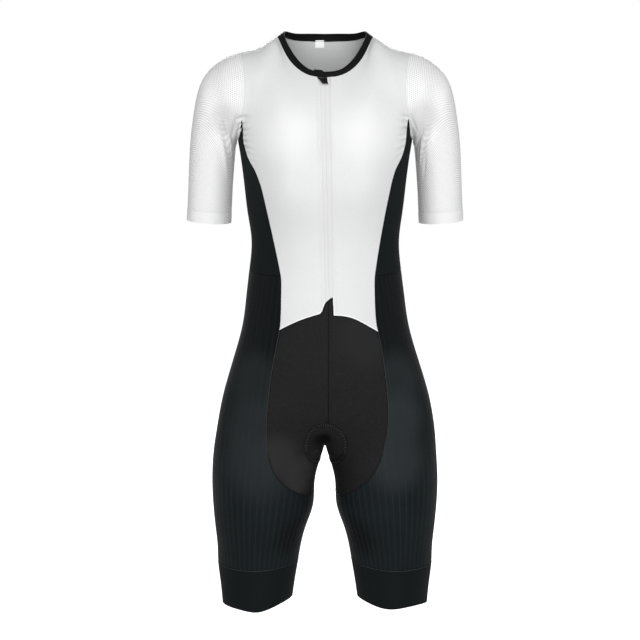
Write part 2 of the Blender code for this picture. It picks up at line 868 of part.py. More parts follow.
def add_object(name, solid, roughness=0.75):
    mesh = bpy.data.meshes.new(name)
    solid.to_mesh(mesh)
    solid.free()
    mesh.shade_smooth()
    mesh.set_sharp_from_angle(angle=SHARP_ANGLE)
    material = bpy.data.materials.new(name)
    material.use_nodes = True
    shader = material.node_tree.nodes["Principled BSDF"]
    shader.inputs["Base Color"].default_value = COLOURS[colour_of(name)]
    shader.inputs["Roughness"].default_value = roughness
    mesh.materials.append(material)
    item = bpy.data.objects.new(name, mesh)
    suit.objects.link(item)
    return item


def patch(tree, corners, across, down, inside, shift, wall):
    """A small flap laid on the front or back: corners as (x, z), clockwise from the top
    left, seen from the front."""
    sheet = bmesh.new()
    keep = sheet.verts.layers.float_vector.new("out")
    a, b, c, d = [Vector(corner) for corner in corners]
    grid = []
    for i in range(down + 1):
        for j in range(across + 1):
            spot = a.lerp(b, j / across).lerp(d.lerp(c, j / across), i / down)
            start = Vector((spot.x, 0.0, spot.y))
            place, normal, _, _ = tree.ray_cast(start, Vector((0.0, 1.0 if inside else -1.0, 0.0)))
            v = sheet.verts.new(place + normal * shift)
            v[keep] = normal
            grid.append(v)
    for i in range(down):
        for j in range(across):
            k = i * (across + 1) + j
            sheet.faces.new((grid[k], grid[k + across + 1], grid[k + across + 2], grid[k + 1]))
    if inside:
        for face in sheet.faces:
            face.normal_flip()
    solid = thicken(sheet, keep, "patch", wall)
    sheet.free()
    return solid


def temp_object(bm):
    mesh = bpy.data.meshes.new("temp")
    bm.to_mesh(mesh)
    bm.free()
    item = bpy.data.objects.new("temp", mesh)
    bpy.context.scene.collection.objects.link(item)
    return item


def merged(base, others):
    """Join or cut solids with Booleans; others as (bmesh, operation)."""
    item = temp_object(base)
    tools = []
    for bm, operation in others:
        tool = temp_object(bm)
        tools.append(tool)
        step = item.modifiers.new("step", "BOOLEAN")
        step.operation = operation
        step.solver = "EXACT"
        step.object = tool
    graph = bpy.context.evaluated_depsgraph_get()
    result = bmesh.new()
    result.from_object(item, graph)
    for extra in tools + [item]:
        bpy.data.objects.remove(extra, do_unlink=True)
    return result


def plate(outline, near, far):
    """A plate from an outline of (x, down) points between two heights off the cloth."""
    curve = bpy.data.curves.new("plate", "CURVE")
    curve.dimensions = "2D"
    curve.fill_mode = "BOTH"
    curve.extrude = (far - near) / 2.0
    line = curve.splines.new("POLY")
    line.points.add(len(outline) - 1)
    for point, (x, down) in zip(line.points, outline):
        point.co = (x, -down, 0.0, 1.0)
    line.use_cyclic_u = True
    item = bpy.data.objects.new("plate", curve)
    mesh = bpy.data.meshes.new_from_object(item)
    bm = bmesh.new()
    bm.from_mesh(mesh)
    bmesh.ops.remove_doubles(bm, verts=bm.verts, dist=0.0001)
    bmesh.ops.recalc_face_normals(bm, faces=bm.faces)
    bm.transform(Matrix.Translation((0.0, -(near + far) / 2.0, 0.0)) @ STAND)
    bpy.data.objects.remove(item, do_unlink=True)
    bpy.data.meshes.remove(mesh)
    return bm


def bar(radius, length, down, height):
    """A round bar along X."""
    bm = bmesh.new()
    place = Matrix.Translation((0.0, -height, -down)) @ Matrix.Rotation(math.pi / 2.0, 4, "Y")
    bmesh.ops.create_cone(bm, cap_ends=True, segments=16, radius1=radius, radius2=radius,
                          depth=length, matrix=place)
    return bm


def block(half_x, top, bottom, near, far):
    """A block between two lines across the cloth and two heights off it."""
    bm = bmesh.new()
    place = Matrix.Translation((0.0, -(near + far) / 2.0, -(top + bottom) / 2.0))
    size = Matrix.Diagonal((2.0 * half_x, far - near, bottom - top, 1.0))
    bmesh.ops.create_cube(bm, size=1.0, matrix=place @ size)
    return bm


def bridge_ring(major, minor, down, height):
    """The slider's bridge: a ring about the X axis, wider than it is thick."""
    bpy.ops.mesh.primitive_torus_add(major_segments=20, minor_segments=10,
                                     major_radius=major, minor_radius=minor)
    item = bpy.context.active_object
    bm = bmesh.new()
    bm.from_mesh(item.data)
    turn = Matrix.Rotation(math.pi / 2.0, 4, "Y")
    widen = Matrix.Diagonal((BRIDGE_WIDEN, 1.0, 1.0, 1.0))
    bm.transform(Matrix.Translation((0.0, -height, -down)) @ widen @ turn)
    bpy.data.objects.remove(item, do_unlink=True)
    return bm


# The slider and its tab, in mm on the cloth: across (x) and down from the slider's top,
# heights off the cloth.
STAND = Matrix.Rotation(math.pi / 2.0, 4, "X")
SLIDER_TOP = (-1.6, -62.7)
SLIDER_OUTLINE = ((-4.2, 0.0), (4.2, 0.0), (4.2, 2.2), (3.3, 6.2), (-3.3, 6.2), (-4.2, 2.2))
SLIDER_NEAR, SLIDER_FAR = 0.35, 2.75
PIVOT_DOWN, PIVOT_HEIGHT = 2.4, 4.3
BRIDGE_MAJOR, BRIDGE_MINOR, BRIDGE_WIDEN = 1.95, 0.6, 1.3
TAB_OUTLINE = ((-10.0, 1.5), (4.4, 1.6), (4.9, 7.4), (6.2, 12.6), (4.1, 10.6), (-2.7, 10.4),
               (-6.5, 4.4))
TAB_SLOT_HALF, TAB_SLOT_TOP, TAB_SLOT_BOTTOM = 1.5, 3.1, 5.6
TAB_HALF = 0.6
PIN_RADIUS, PIN_LENGTH = 0.7, 5.8


def zip_parts(tree):
    """The slider with its bridge, and the tab; both placed on the cloth."""
    x, z = SLIDER_TOP
    place, normal, _, _ = tree.ray_cast(Vector((x, 0.0, z - 3.0)), Vector((0.0, -1.0, 0.0)))
    out = Vector((0.0, normal.y, normal.z)).normalized()
    up = Vector((0.0, -out.z, out.y))
    if up.z < 0.0:
        up = -up
    top = place + up * 3.0
    frame = Matrix(((1.0, 0.0, 0.0, top.x),
                    (0.0, -out.y, up.y, top.y),
                    (0.0, -out.z, up.z, top.z),
                    (0.0, 0.0, 0.0, 1.0)))
    frame = Matrix.Scale(MM, 4) @ frame
    bridge = bridge_ring(BRIDGE_MAJOR, BRIDGE_MINOR, PIVOT_DOWN, PIVOT_HEIGHT)
    slider = merged(plate(SLIDER_OUTLINE, SLIDER_NEAR, SLIDER_FAR), [(bridge, "UNION")])
    low, high = PIVOT_HEIGHT - TAB_HALF, PIVOT_HEIGHT + TAB_HALF
    slot = block(TAB_SLOT_HALF, TAB_SLOT_TOP, TAB_SLOT_BOTTOM, low - 1.0, high + 1.0)
    pin = bar(PIN_RADIUS, PIN_LENGTH, PIVOT_DOWN, PIVOT_HEIGHT)
    tab = merged(plate(TAB_OUTLINE, low, high), [(slot, "DIFFERENCE"), (pin, "UNION")])
    for solid in (slider, tab):
        solid.transform(frame)
    pivot = frame @ Vector((0.0, -PIVOT_HEIGHT, -PIVOT_DOWN))
    return slider, tab, pivot


# Small flaps as (x, z) corners, clockwise from the top left seen from the front, with
# how far the outer face stands off the worn surface and the wall.
GARAGE = ((-16.5, -53.8), (3.2, -55.4), (3.2, -62.0), (-11.0, -62.0))
GARAGE_OUT, GARAGE_WALL = 2.0, 1.2
LABEL = ((-15.0, -5.0), (-1.5, -5.0), (-1.5, -16.5), (-15.0, -16.5))
LABEL_OUT, LABEL_WALL = -WALL - 0.3, 0.6


def main():
    worn = worn_surface(DETAIL)
    press_folds(worn)
    tree = BVHTree.FromBMesh(worn)
    draw_seams(worn)
    for name, faces in sorted(gather(worn).items()):
        panel, keep = panel_mesh(name, faces)
        add_object(name, thicken(panel, keep, name, WALL))
        panel.free()
    worn.free()
    add_object("zip_garage", patch(tree, GARAGE, 6, 3, False, GARAGE_OUT, GARAGE_WALL))
    add_object("size_label", patch(tree, LABEL, 3, 3, True, LABEL_OUT, LABEL_WALL))
    slider, tab, pivot = zip_parts(tree)
    add_object("zip_slider", slider, 0.4)
    tab.transform(Matrix.Translation(-pivot))
    add_object("zip_pull", tab, 0.4).location = pivot


main()
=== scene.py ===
# Looks of the triathlon suit: every cloth piece is a thin shell on its solid's form.
# Lengths are in mm until a piece is made; the frame is in metres.
import math

import bmesh
import bpy
import numpy as np
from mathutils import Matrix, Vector
from mathutils.bvhtree import BVHTree
from mathutils.kdtree import KDTree


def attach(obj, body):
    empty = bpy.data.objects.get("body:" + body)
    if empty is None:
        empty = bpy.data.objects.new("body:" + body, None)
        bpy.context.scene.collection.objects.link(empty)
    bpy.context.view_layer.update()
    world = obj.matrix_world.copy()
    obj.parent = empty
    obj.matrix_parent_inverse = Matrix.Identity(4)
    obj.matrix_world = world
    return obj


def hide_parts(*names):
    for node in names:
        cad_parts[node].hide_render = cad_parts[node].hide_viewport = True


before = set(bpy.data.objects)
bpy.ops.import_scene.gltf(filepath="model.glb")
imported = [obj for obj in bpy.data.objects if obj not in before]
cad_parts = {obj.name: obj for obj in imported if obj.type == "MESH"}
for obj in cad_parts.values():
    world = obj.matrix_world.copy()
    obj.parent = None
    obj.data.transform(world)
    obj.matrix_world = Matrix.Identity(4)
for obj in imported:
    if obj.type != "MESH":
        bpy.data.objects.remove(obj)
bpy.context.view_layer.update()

MM = 0.001
X, Y, Z = range(3)
FINE = 4   # subdivision of the upper body and sleeves
COARSE = 3                      # subdivision of the shorts
UPPER_LOW = -490                # the finer net reaches down to here
LOWER_HIGH = -310               # and the coarser one up to here
ARMPIT_Z = -158
WAIST_Z = -356
TONGUE_Z = -376                 # top of the crotch fronts, under the white hem
SPLIT_Z = -603                  # lowest section of the trunk
GRIP_Z = -827.5                 # seam of the hem bands, at the outer side
ZIP_HALF = 6.5
SHOULDER_Y = 6
BINDING_WIDTH = 9.0
CUFF_HEM = 18                   # height of the sleeves' turned hems
CUFF_STITCH = 18.2              # and of the stitching on them
CLOTH = 0.8                     # cloth thickness
LIP = 1.6                       # width of the rolled edge beside a seam
ROLL = 0.5                      # how deep a seam lies
BAND = (1.4, 2.1, 4.4, 5.2)     # steps of the raised band beside the zip
MESH_CELL = 3                   # cell of the sleeves' mesh
RIB_PITCH = 11.3
RIBS = 48                       # strong ribs round a leg
LADDER_PITCH = 3.05             # of the ladder stitch round the gusset,
LADDER_HALF = 3.0               # and its half width
ROUND = 24                      # columns of the net round the trunk
HALF = 12                       # and of its left half, the neck and each sleeve
LEG_ROUND = 16                  # columns round a leg,
LEG_START = 14                  # and the one where its flat coordinates start
BUST, THIGH, SEAT = (62, 32), (95, 58), (88, 58)    # x and half width of the full places
CREASE_BACK = 0.3               # share of its length that a rooted crease runs on behind its root
CREASE_SKIP = 9                 # a crease leaves points further than this from its line's level
SNAP = 0.1                      # share of an edge that its end may move to lie on a seam,
PINNED_SNAP = 0.03              # and the share within which a point already on one is used
FAR = 30.0                      # distances to seams are kept up to here
FLOOR_HALF, FLOOR_Z = 6, -1.2   # metres
CAMERA = (-0.00775, -2.3, -0.05)
CAMERA_DOWN = 9.522             # degrees below the level

ZONES = ("trunk", "chest", "shoulders", "binding", "sleeve_left", "sleeve_right",
         "leg_left", "leg_right")
SLEEVES = ("sleeve_left", "sleeve_right")
LOWER_FRONTS = {"lower_front_left", "lower_front_right"}
OVER_TONGUE = ("front_left", "front_right", "zip_tape_left", "zip_tape_right")
LOWER = ("leg", "lower", "grip", "crotch", "seat")      # how the shorts' names start
NAMES = ("neck_binding", *SLEEVES, "gripper_left", "gripper_right", "crotch_gusset",
         "side_left", "side_right", "leg_left", "leg_right", "back", "seat",
         "lower_front_left", "lower_front_right", *OVER_TONGUE)
NUMBER = {name: i for i, name in enumerate(NAMES)}
SLOTS = ("white_cloth", "white_mesh", "ribbed_black_cloth", "zip_tape", "label")

# Trunk sections. half: half width; front, back: y at the centre; bust, seat: extra depth
# either side of the centre, for the bust, the thighs and the seat; square: superellipse
# power; shift: sideways shift of the whole section.
TRUNK = (
    # z, half, front, back, bust, seat, square, shift
    (ARMPIT_Z, 133, -98.5, 89, 6, 0, 2.3, 0),
    (-194, 127.5, -103.5, 90, 9, 0, 2.3, 0),
    (-232, 123.2, -103, 86, 9, 0, 2.3, 0),
    (-270, 118.8, -98, 80, 3, 0, 2.3, 0),
    (-310, 114, -93, 75, 0, 0, 2.3, 0.4),
    (-352, 117.2, -92, 77, 0, 1, 2.3, 0.3),
    (-396, 122.9, -95, 86, 0, 4, 2.35, 0.5),
    (-442, 129.6, -97, 95, 0, 8, 2.4, 0.9),
    (-490, 142.8, -97, 101, 0, 11, 2.45, 1.2),
    (-533, 156, -94, 102, 2, 12, 2.5, 1.6),
    (-568, 165, -88.5, 99, 5, 14, 2.6, 1.6),
    (SPLIT_Z, 171.8, -78.5, 91, 11, 15, 2.65, 1.2),
)

# Top ends of the body columns, centre first: neckline, side of neck, shoulder, arm tip.
# bulge: how far the column stands out halfway up.
FRONT_TOP = (
    # x, y, z, roundness, bulge
    (0, -61, -61, 0, 0),
    (29, -55, -56, 0.1, 0),
    (56, -33, -32, 0.35, 1),
    (72.5, SHOULDER_Y, -1, 0.9, 2),
    (96, SHOULDER_Y, -14.5, 1, 15),
)
BACK_TOP = (
    # x, y, z, roundness, bulge
    (0, 59.5, -7, 0.2, 0),
    (28, 56.5, -6.2, 0.2, 1),
    (53, 40, -3.6, 0.5, 5),
    (72.5, SHOULDER_Y, -1, 1, 8),
    (96, SHOULDER_Y, -14.5, 1, 17),
)

# The armhole from the armpit over the front, the shoulder and down the back.
ARMHOLE = (
    # x, y, z
    (133.5, 2, ARMPIT_Z), (129, -31, -147), (124, -52, -120), (119.5, -57, -88),
    (120.5, -47, -55), (125, -25, -32), (127, SHOULDER_Y, -23.5), (125.5, 34, -33),
    (121, 53, -56), (120, 59, -88), (124, 53, -120), (129, 33, -147),
)

# Sleeve rings, swinging from the armhole down to the cuff.
SLEEVE = (
    # outer x, outer z, inner x, inner z, front y, back y
    (149.5, -31.5, 135, -160.5, -57, 60),
    (172.5, -47.5, 136, -164, -54, 57),
    (190.5, -74, 137, -170, -51, 54),
    (200.5, -116.5, 138.2, -182, -48.5, 51),
    (206.8, -167, 140, -202, -47, 49),
    (210, -226, 142.5, -236, -46, 47),
    (213, -278, 145, -283, -45, 45),
)

# Crotch line between the legs, front to back.
CROTCH = (
    # y, z
    (-51, -623), (6, -632.5), (63, -621),
)

# Leg rings from the crotch down to the hem. lift: how much higher the inner side is;
# power: above 1 the front and back are more pointed than an ellipse.
LEG = (
    # z, outer x, inner x, front y, back y, lift, power
    (-648, 176.9, 4, -82, 93, 0, 0.92),
    (-690, 179.2, 15.5, -79, 88, 0, 0.93),
    (-730, 178, 18, -75, 79.5, 0, 0.96),
    (-766, 175, 29, -69.5, 70.5, 1.5, 1),
    (-800, 171.8, 37.5, -63.5, 63, 4.5, 1.05),
    (GRIP_Z, 171, 42, -59, 58, 7, 1.1),
    (-862, 167.3, 47.5, -56, 55, 9.5, 1.13),
    (-894.5, 164.5, 52, -54, 53, 11, 1.15),
)

# How much lower than its ring the hem hangs, along the front from the inner side outwards.
HEM_DROP = {
    "leg_right": (1.2, 4.6, 5.8, 2.8, 0.4, 0),
    "leg_left": (0.8, 2.4, 0.6, -2.6, -4, -2.2),
}

# Folded edge of the neck binding, centre front to centre back.
NECK_EDGE = (
    # x, y, z
    (0, -58, -53), (26, -52.5, -48), (49.5, -31, -24), (63, SHOULDER_Y, 4.8), (49.5, 38, 5.4),
    (26.5, 53.5, 4.8), (0, 57, 4.6),
)

# Seam between the front and the side and leg pieces, then round the crotch front
# to the inside of the thigh. The suit hangs a little to the wearer's left.
FRONT_SEAM = (
    # z, distance from the middle on the right and on the left
    (60, 160, 160), (-90, 150, 150), (-112, 131, 131), (-124, 124.5, 124), (-153, 123.5, 121.5),
    (-168, 120, 118.6), (-182, 115, 113.3), (-197, 105.8, 105.3), (-212, 99.2, 100.4),
    (-227, 94.2, 96.9), (-257, 87.4, 90.8), (-287, 80.8, 85.6), (-317, 74.4, 80.5),
    (-347, 68.2, 76), (-362, 66, 74.4), (-393, 66.2, 74.8), (-423, 67.2, 76.6),
    (-439, 69, 79.3), (-457, 72.4, 83.6), (-478, 76.3, 87.4), (-505, 81.4, 91.2),
    (-526, 84.3, 93.6), (-549, 86.8, 95.6), (-574, 88.9, 96.3), (-600, 89.6, 94.4),
    (-625, 87.6, 89.2), (-641, 85, 84.4), (-657, 79.8, 77), (-673, 70.8, 66.8),
    (-686, 58.6, 53.6), (-697, 45, 41), (-704, 33.6, 31), (-708.5, 24, 22.5), (-711, 0, 0),
)

# The same seam on the back.
BACK_SEAM = (
    # z, x
    (60, 160), (-90, 150), (-112, 134), (-130, 122), (-160, 113), (-200, 103), (-250, 92),
    (-300, 83), (-345, 79), (-400, 84), (-450, 93), (-500, 103), (-550, 110), (-600, 112),
    (-640, 108), (-670, 96), (-690, 76), (-702, 53), (-708.5, 30), (-711, 0),
)

# Edges of the zip strip; below the zip the right edge is the open edge of the left front.
ZIP_EDGE = (
    # z, left edge x, right edge x
    (-40, -ZIP_HALF, ZIP_HALF),
    (-90, -ZIP_HALF - 0.6, ZIP_HALF - 0.6),
    (-374, -0.3, 11.3),
    (-386, -0.1, 12),
    (-440, 0.8, 13.6),
)

# Arched hems of the white fronts; the right front rises to the end of the zip.
HEM_RIGHT = (
    # x, z
    (-84, -446), (-68, -436), (-52, -427.2), (-36, -419.7), (-14, -412.1), (-6.5, -409.4),
    (-3.2, -401.8), (-0.4, -394.8), (5, -389.6), (12.6, -385.6), (40, -385.6),
)
HEM_LEFT = (
    # x, z
    (-20, -412), (12, -412.8), (30, -414.4), (48, -420.4), (76, -437.3), (90, -447),
)

# Seam where the back comes over the shoulder onto the chest.
YOKE = (
    # x, z
    (40, -40), (57, -35), (75, -28.5), (100, -24), (130, -23),
)

# Creases as troughs (negative depths) and ridges, from point 1 to point 2 in the front
# view. Rooted ones are deepest at point 1 and die out.
FRONT, BACK = -1, 1
FOLDS = (
    # face, rooted, and rows of x1, z1, x2, z2, width, depth
    (FRONT, True, (     # chest beside the armhole and side seam, wearer's right
        (-127, -122.5, -104, -120, 4.6, -1.8), (-126, -131, -106, -127, 3.6, -1.6),
        (-127, -140, -103, -138.5, 3.6, -2.1), (-125, -147, -106, -149, 3, -1.5),
        (-124, -155, -107, -158.5, 3.2, -1.5), (-121, -165, -104, -168, 3.4, -1.5),
        (-117, -174, -103, -178, 3.2, -1), (-113, -184, -102, -188, 3.4, -0.9),
    )),
    (FRONT, True, (     # the same, wearer's left
        (121, -120, 105, -114, 3.2, -1.4), (121, -128, 100, -125, 3.4, -1.5),
        (122, -138.5, 97, -137, 3.6, -2.2), (119, -146.5, 100, -150, 3.2, -1.5),
        (119, -155, 101, -159, 3, -1.4), (117, -166, 100, -171, 3.4, -1.4),
        (113, -177, 100, -183, 3.2, -1),
    )),
    (BACK, True, (      # back, beside the armholes
        (-124, -126, -104, -121, 4, -1.4), (-124, -140, -98, -139, 4.2, -1.8),
        (-119, -153, -99, -158, 4, -1.4), (-113, -170, -97, -177, 4.2, -1.1),
        (125, -124, 103, -117, 4, -1.5), (124, -137, 100, -135, 4.2, -1.7),
        (121, -151, 98, -155, 4, -1.4), (115, -166, 99, -173, 4.2, -1.2),
    )),
    (FRONT, False, (    # right sleeve, front
        (-131, -114, -141, -152, 4, -2.2), (-142, -146, -137.5, -180, 3.2, -2.4),
        (-157, -117, -147, -178, 4.6, -2.4), (-149, -163, -140, -222, 4.4, -2.2),
        (-148, -124, -141, -184, 3.4, 1.6), (-157, -140, -148, -216, 6.5, 1.2),
    )),
    (FRONT, False, (    # left sleeve, front
        (127, -116, 138, -143, 3.2, -1.6), (149, -136, 138, -172, 3.8, -2.6),
        (139, -162, 138.5, -226, 4.2, -2.4), (146, -150, 143.5, -196, 4, 1.7),
        (158, -128, 150, -160, 3.6, -1.2), (151, -170, 149.5, -212, 4, -1),
    )),
    (BACK, False, (     # sleeves, back
        (-133, -116, -143, -152, 5.5, -2.2), (-146, -136, -140, -190, 5, -2.2),
        (-154, -128, -149, -196, 6, 1.5), (134, -118, 146, -150, 5, -2.1),
        (148, -134, 140, -186, 5, -2.4), (157, -130, 150, -198, 6, 1.6),
    )),
    (FRONT, False, (    # thighs and crotch
        (122, -519, 106, -531, 6, -1.1), (-42, -640, -27, -660, 7, -1.2),
        (40, -638, 26, -655, 7, -1.1), (-20, -610, 12, -609, 6, -4.6),
        (-2, -600, 2, -618, 5, -2.6), (-17, -622, -9, -640, 5, 1.8),
        (-8, -566, 2, -584, 4, -1), (-3, -572, 4, -586, 3, -0.8),
    )),
    (BACK, True, (      # seat
        (30, -640, 78, -629, 8, -1.6), (-30, -641, -72, -632, 8, -1.6),
        (28, -660, 60, -668, 7, -1.2), (-28, -661, -56, -672, 7, -1.2),
    )),
)

# The line that the ribs keep round in the left leg.
RIB_AXIS = (
    # z, x, y
    (-300, 58, -8),
    (-356, 62, -7),
    (-450, 72, -3),
    (-520, 80, 1),
    (-603, 87.5, 5),
    (-648, 91.5, 5),
    (-700, 97, 4),
    (-766, 102, 1),
    (-827, 106, 0),
    (-905, 108.5, -1),
)

# The gusset as an ellipsoid: its middle (x, z) and its half sizes in x, y and z.
GUSSET_MIDDLE = (1, -618.5)
GUSSET_HALF = (34.5, 152, 42)

# Painted light: soft places where the cloth turns to or from the light, painted lighter (shade
# above 1, a painted highlight) or darker (shade below 1, painted shade) in the cloth's colour.
CROTCH_PAINTED_LIGHT = (
    # x, y, z, reach, shade
    (-0.073, -0.083, -0.637, 0.050, 1.8),
    (-0.031, -0.060, -0.670, 0.048, 2.5),
    (0.0640, -0.090, -0.450, 0.060, 1.35),
    (-0.0095, -0.060, -0.636, 0.010, 3.6),
    (-0.0050, -0.070, -0.611, 0.022, 0.45),
    (-0.0010, -0.068, -0.612, 0.013, 0.04),
    (-0.0100, -0.072, -0.612, 0.007, 0.20),
)
# Painted highlights down the thighs and painted shade on their inner sides.
LEG_PAINTED_LIGHT = (
    # x, y, z, reach, shade
    (-0.112, -0.080, -0.515, 0.060, 1.6),
    (-0.105, -0.083, -0.590, 0.068, 2.15),
    (-0.103, -0.080, -0.648, 0.078, 2.2),
    (0.111, -0.080, -0.515, 0.060, 1.9),
    (0.112, -0.084, -0.580, 0.062, 2.8),
    (0.109, -0.082, -0.645, 0.064, 2.6),
    (-0.050, -0.045, -0.774, 0.045, 0.45),
    (0.045, -0.040, -0.774, 0.050, 0.30),
)
# Painted shade on the sleeves beside the armpits.
SLEEVE_PAINTED_SHADE = (
    # x, y, z, reach, shade
    (-0.147, -0.052, -0.124, 0.034, 0.70),
    (0.145, -0.052, -0.120, 0.034, 0.70),
)
CHEST_PAINTED_HIGHLIGHTS = ((-0.056, -0.092, -0.138), (0.061, -0.092, -0.140))     # painted highlights on the fullest places of the chest
WHITE = (0.762, 0.768, 0.768)


def power(value, exponent):
    return math.copysign(abs(value) ** exponent, value)


def swell(x, place, width):
    """A soft swelling on both sides of the middle, 1 at its top."""
    return math.exp(-((abs(x) - place) / width) ** 2)


def trunk_point(row, column):
    """A point of a trunk section; column 0 is the centre front, 6 the left side."""
    z, half, front, back, bust, seat, square, shift = row
    angle = math.radians(360 * column / ROUND)
    across, along = math.sin(angle), math.cos(angle)
    x = half * power(across, 2 / square)
    reach = abs(along) ** (2 / square)
    if along > 0:
        y = front * reach - bust * swell(x, *(BUST if z > WAIST_Z else THIGH))
    else:
        y = back * reach + seat * swell(x, *SEAT)
    if z == SPLIT_Z:
        z += 9 * abs(along) ** 3 - 4 * abs(across)
    return Vector((x + shift, y, z))


def body_point(step, top, low):
    """A point of the chest or back, step 0 to 5 from armpit level to the top edge."""
    x, y, z, roundness, bulge = top
    angle = math.radians(18 * step)
    even = step / 5
    rise = even + roundness * (math.sin(angle) - even)
    flat = 1 - even ** 1.4
    arc = flat + roundness * (math.cos(angle) - flat)
    out = math.copysign(bulge * math.sin(2 * angle), low.y)
    return Vector((low.x + (x - low.x) * rise, y + (low.y - y) * arc + out,
                   low.z + (z - low.z) * rise))


def mirrored(point):
    x, y, z = point
    return Vector((-x, y, z))


def corners(u, v, r, q, m, n, sign):
    """Flat coordinates of a quad between rows r, q and columns m, n."""
    return [(sign * u[r][m], v[r][m]), (sign * u[q][m], v[q][m]),
            (sign * u[q][n], v[q][n]), (sign * u[r][n], v[r][n])]


def round_corners(u, v, r, q, c):
    """The same for a column of the whole round, from the rows of its left half."""
    m, n, sign = (c, c + 1, 1) if c < HALF else (ROUND - c, ROUND - c - 1, -1)
    return corners(u, v, r, q, m, n, sign)


class Cage:
    """The coarse quad net whose smooth surface is the worn suit, with flat coordinates. A
    point's key starts with t for the trunk, b for the body above the armpits, n for the neck
    edge, c for the crotch, or the name of a sleeve or leg; its row and column follow."""

    def __init__(self):
        self.points, self.faces, self.zones, self.flat, self.index = [], [], [], [], {}

    def put(self, key, point):
        self.index[key] = len(self.points)
        self.points.append(Vector(point))

    def at(self, keys):
        return [self.points[self.index[key]] for key in keys]

    def quad(self, zone, keys, flat):
        self.faces.append([self.index[key] for key in keys])
        self.zones.append(ZONES.index(zone))
        self.flat.append(flat)

    def tube(self, zone, rings, u, v, sign, start=0):
        """Quads between rings of keys; the flat columns begin at this place of a ring."""
        count = len(rings[0])
        for r in range(len(rings) - 1):
            for k in range(count):
                d, j = (k + 1) % count, (k - start) % count
                keys = (rings[r][k], rings[r + 1][k], rings[r + 1][d], rings[r][d])
                flat = corners(u, v, r, r + 1, j, j + 1, sign)
                self.quad(zone, keys[::sign], flat[::sign])


def arc(points, middle):
    """Distance along a row of points, counted from the middle one."""
    out = [0.0]
    for a, b in zip(points, points[1:]):
        out.append(out[-1] + (b - a).length)
    return [value - out[middle] for value in out]


def evened(rows):
    """Rows of distances smoothed down their columns; the first row is held."""
    for _ in range(10):
        rows = rows[:1] + [
            [(a + 2 * b + c) / 4
             for a, b, c in zip(rows[i - 1], rows[i], rows[min(i + 1, len(rows) - 1)])]
            for i in range(1, len(rows))]
    return rows


def down(rows, first):
    """Distance down each column of a grid of points; first holds the top row's values."""
    out = [list(first)]
    for upper, lower in zip(rows, rows[1:]):
        out.append([v + (b - a).length for v, a, b in zip(out[-1], upper, lower)])
    return out


def body_key(step, column):
    """The net's point in a column of the trunk, 0 to 5 steps above armpit level."""
    column %= ROUND
    if step == 5 and column in (7, 8, 9, 15, 16, 17):
        column = (ROUND + HALF - column) % ROUND    # the back meets the front there
    return ("b", step, column) if step else ("t", 0, column)


def add_trunk(cage):
    """Points of the trunk; gives the flat coordinates of its left half."""
    for r, row in enumerate(TRUNK):
        for c in range(ROUND):
            point = trunk_point(row, c)
            if r == 0 and c in (5, 6, 7):
                point = ARMHOLE[6 - c]
            elif r == 0 and c in (17, 18, 19):
                point = mirrored(ARMHOLE[c - 18])
            cage.put(("t", r, c), point)
    half = [cage.at([("t", r, c) for c in range(HALF + 1)]) for r in range(len(TRUNK))]
    return [arc(row, 2) for row in half], down(half, [0.0] * (HALF + 1))


def add_body(cage, trunk_u):
    """Chest, back and shoulders, from armpit level to the neck and the armholes."""
    for step in range(1, 6):
        behind = 3 if step == 5 else 6
        for start, way, tops, count, arm in ((0, 1, FRONT_TOP, 6, step + 1),
                                             (HALF, -1, BACK_TOP, behind, 11 - step)):
            for c in range(count):
                column = start + way * c
                low = cage.at([("t", 0, column)])[0]
                point = body_point(step, tops[c], low) if c < 5 else Vector(ARMHOLE[arm])
                cage.put(("b", step, column), point)
                if c:
                    cage.put(("b", step, ROUND - column), mirrored(point))
    chest_u, grid = [], []
    for step in range(6):
        row = cage.at([body_key(step, c) if c != 6 else ("t", 0, 6)
                       for c in range(HALF + 1)])
        chest_u.append([trunk_u[0][0] + value for value in arc(row[:6], 0)] + [0.0]
                       + [trunk_u[0][HALF] + value for value in arc(row[7:], 5)])
        grid.append(row)
    chest_v = [[-value for value in row] for row in down(grid, [0.0] * (HALF + 1))]
    for step in range(5):
        for c in (*range(5), *range(7, 17), *range(19, 24)):
            keys = [body_key(*place) for place in ((step + 1, c), (step, c), (step, c + 1),
                                                   (step + 1, c + 1))]
            cage.quad("chest" if c < 5 or c > 18 else "shoulders", keys,
                      round_corners(chest_u, chest_v, step + 1, step, c))


def add_binding(cage):
    """The binding round the neck, between its folded edge and the top of the body."""
    loop = [body_key(5, c) for c in (0, 1, 2, 3, 10, 11, 12, 13, 14, 21, 22, 23)]
    edge = [("n", k) for k in range(HALF)]
    for k, key in enumerate(edge):
        point = NECK_EDGE[min(k, HALF - k)]
        cage.put(key, point if k < 7 else mirrored(point))
    u = arc(cage.at(edge + edge[:1]), 0)
    v = [[depth] * (HALF + 1) for depth in (0, BINDING_WIDTH)]
    cage.tube("binding", [edge, loop], [u, u], v, 1)


def add_sleeve(cage, name, sign):
    """A sleeve's rings and faces, from the armhole, starting at the armpit."""
    middle, front, back = (6, 5, 7) if sign > 0 else (18, 19, 17)
    rings = [[("t", 0, middle)] + [body_key(step, front) for step in range(6)]
             + [body_key(step, back) for step in (4, 3, 2, 1, 0)]]
    for r, (outer_x, outer_z, inner_x, inner_z, front_y, back_y) in enumerate(SLEEVE):
        rings.append([(name, r, k) for k in range(HALF)])
        for k, key in enumerate(rings[-1]):
            angle = math.radians(360 * k / HALF)
            share = (1 - math.cos(angle)) / 2
            bulge = 1 + 0.05 * math.sin(2 * angle) ** 2
            x = inner_x + (outer_x - inner_x) * share
            z = inner_z + (outer_z - inner_z) * share
            y = (front_y + back_y) / 2 - (back_y - front_y) / 2 * math.sin(angle) * bulge
            cage.put(key, (sign * x, y, z))
    grid = [cage.at(row + row[:1]) for row in rings]
    cage.tube(name, rings, [arc(row, 6) for row in grid], down(grid, [0.0] * (HALF + 1)), sign)


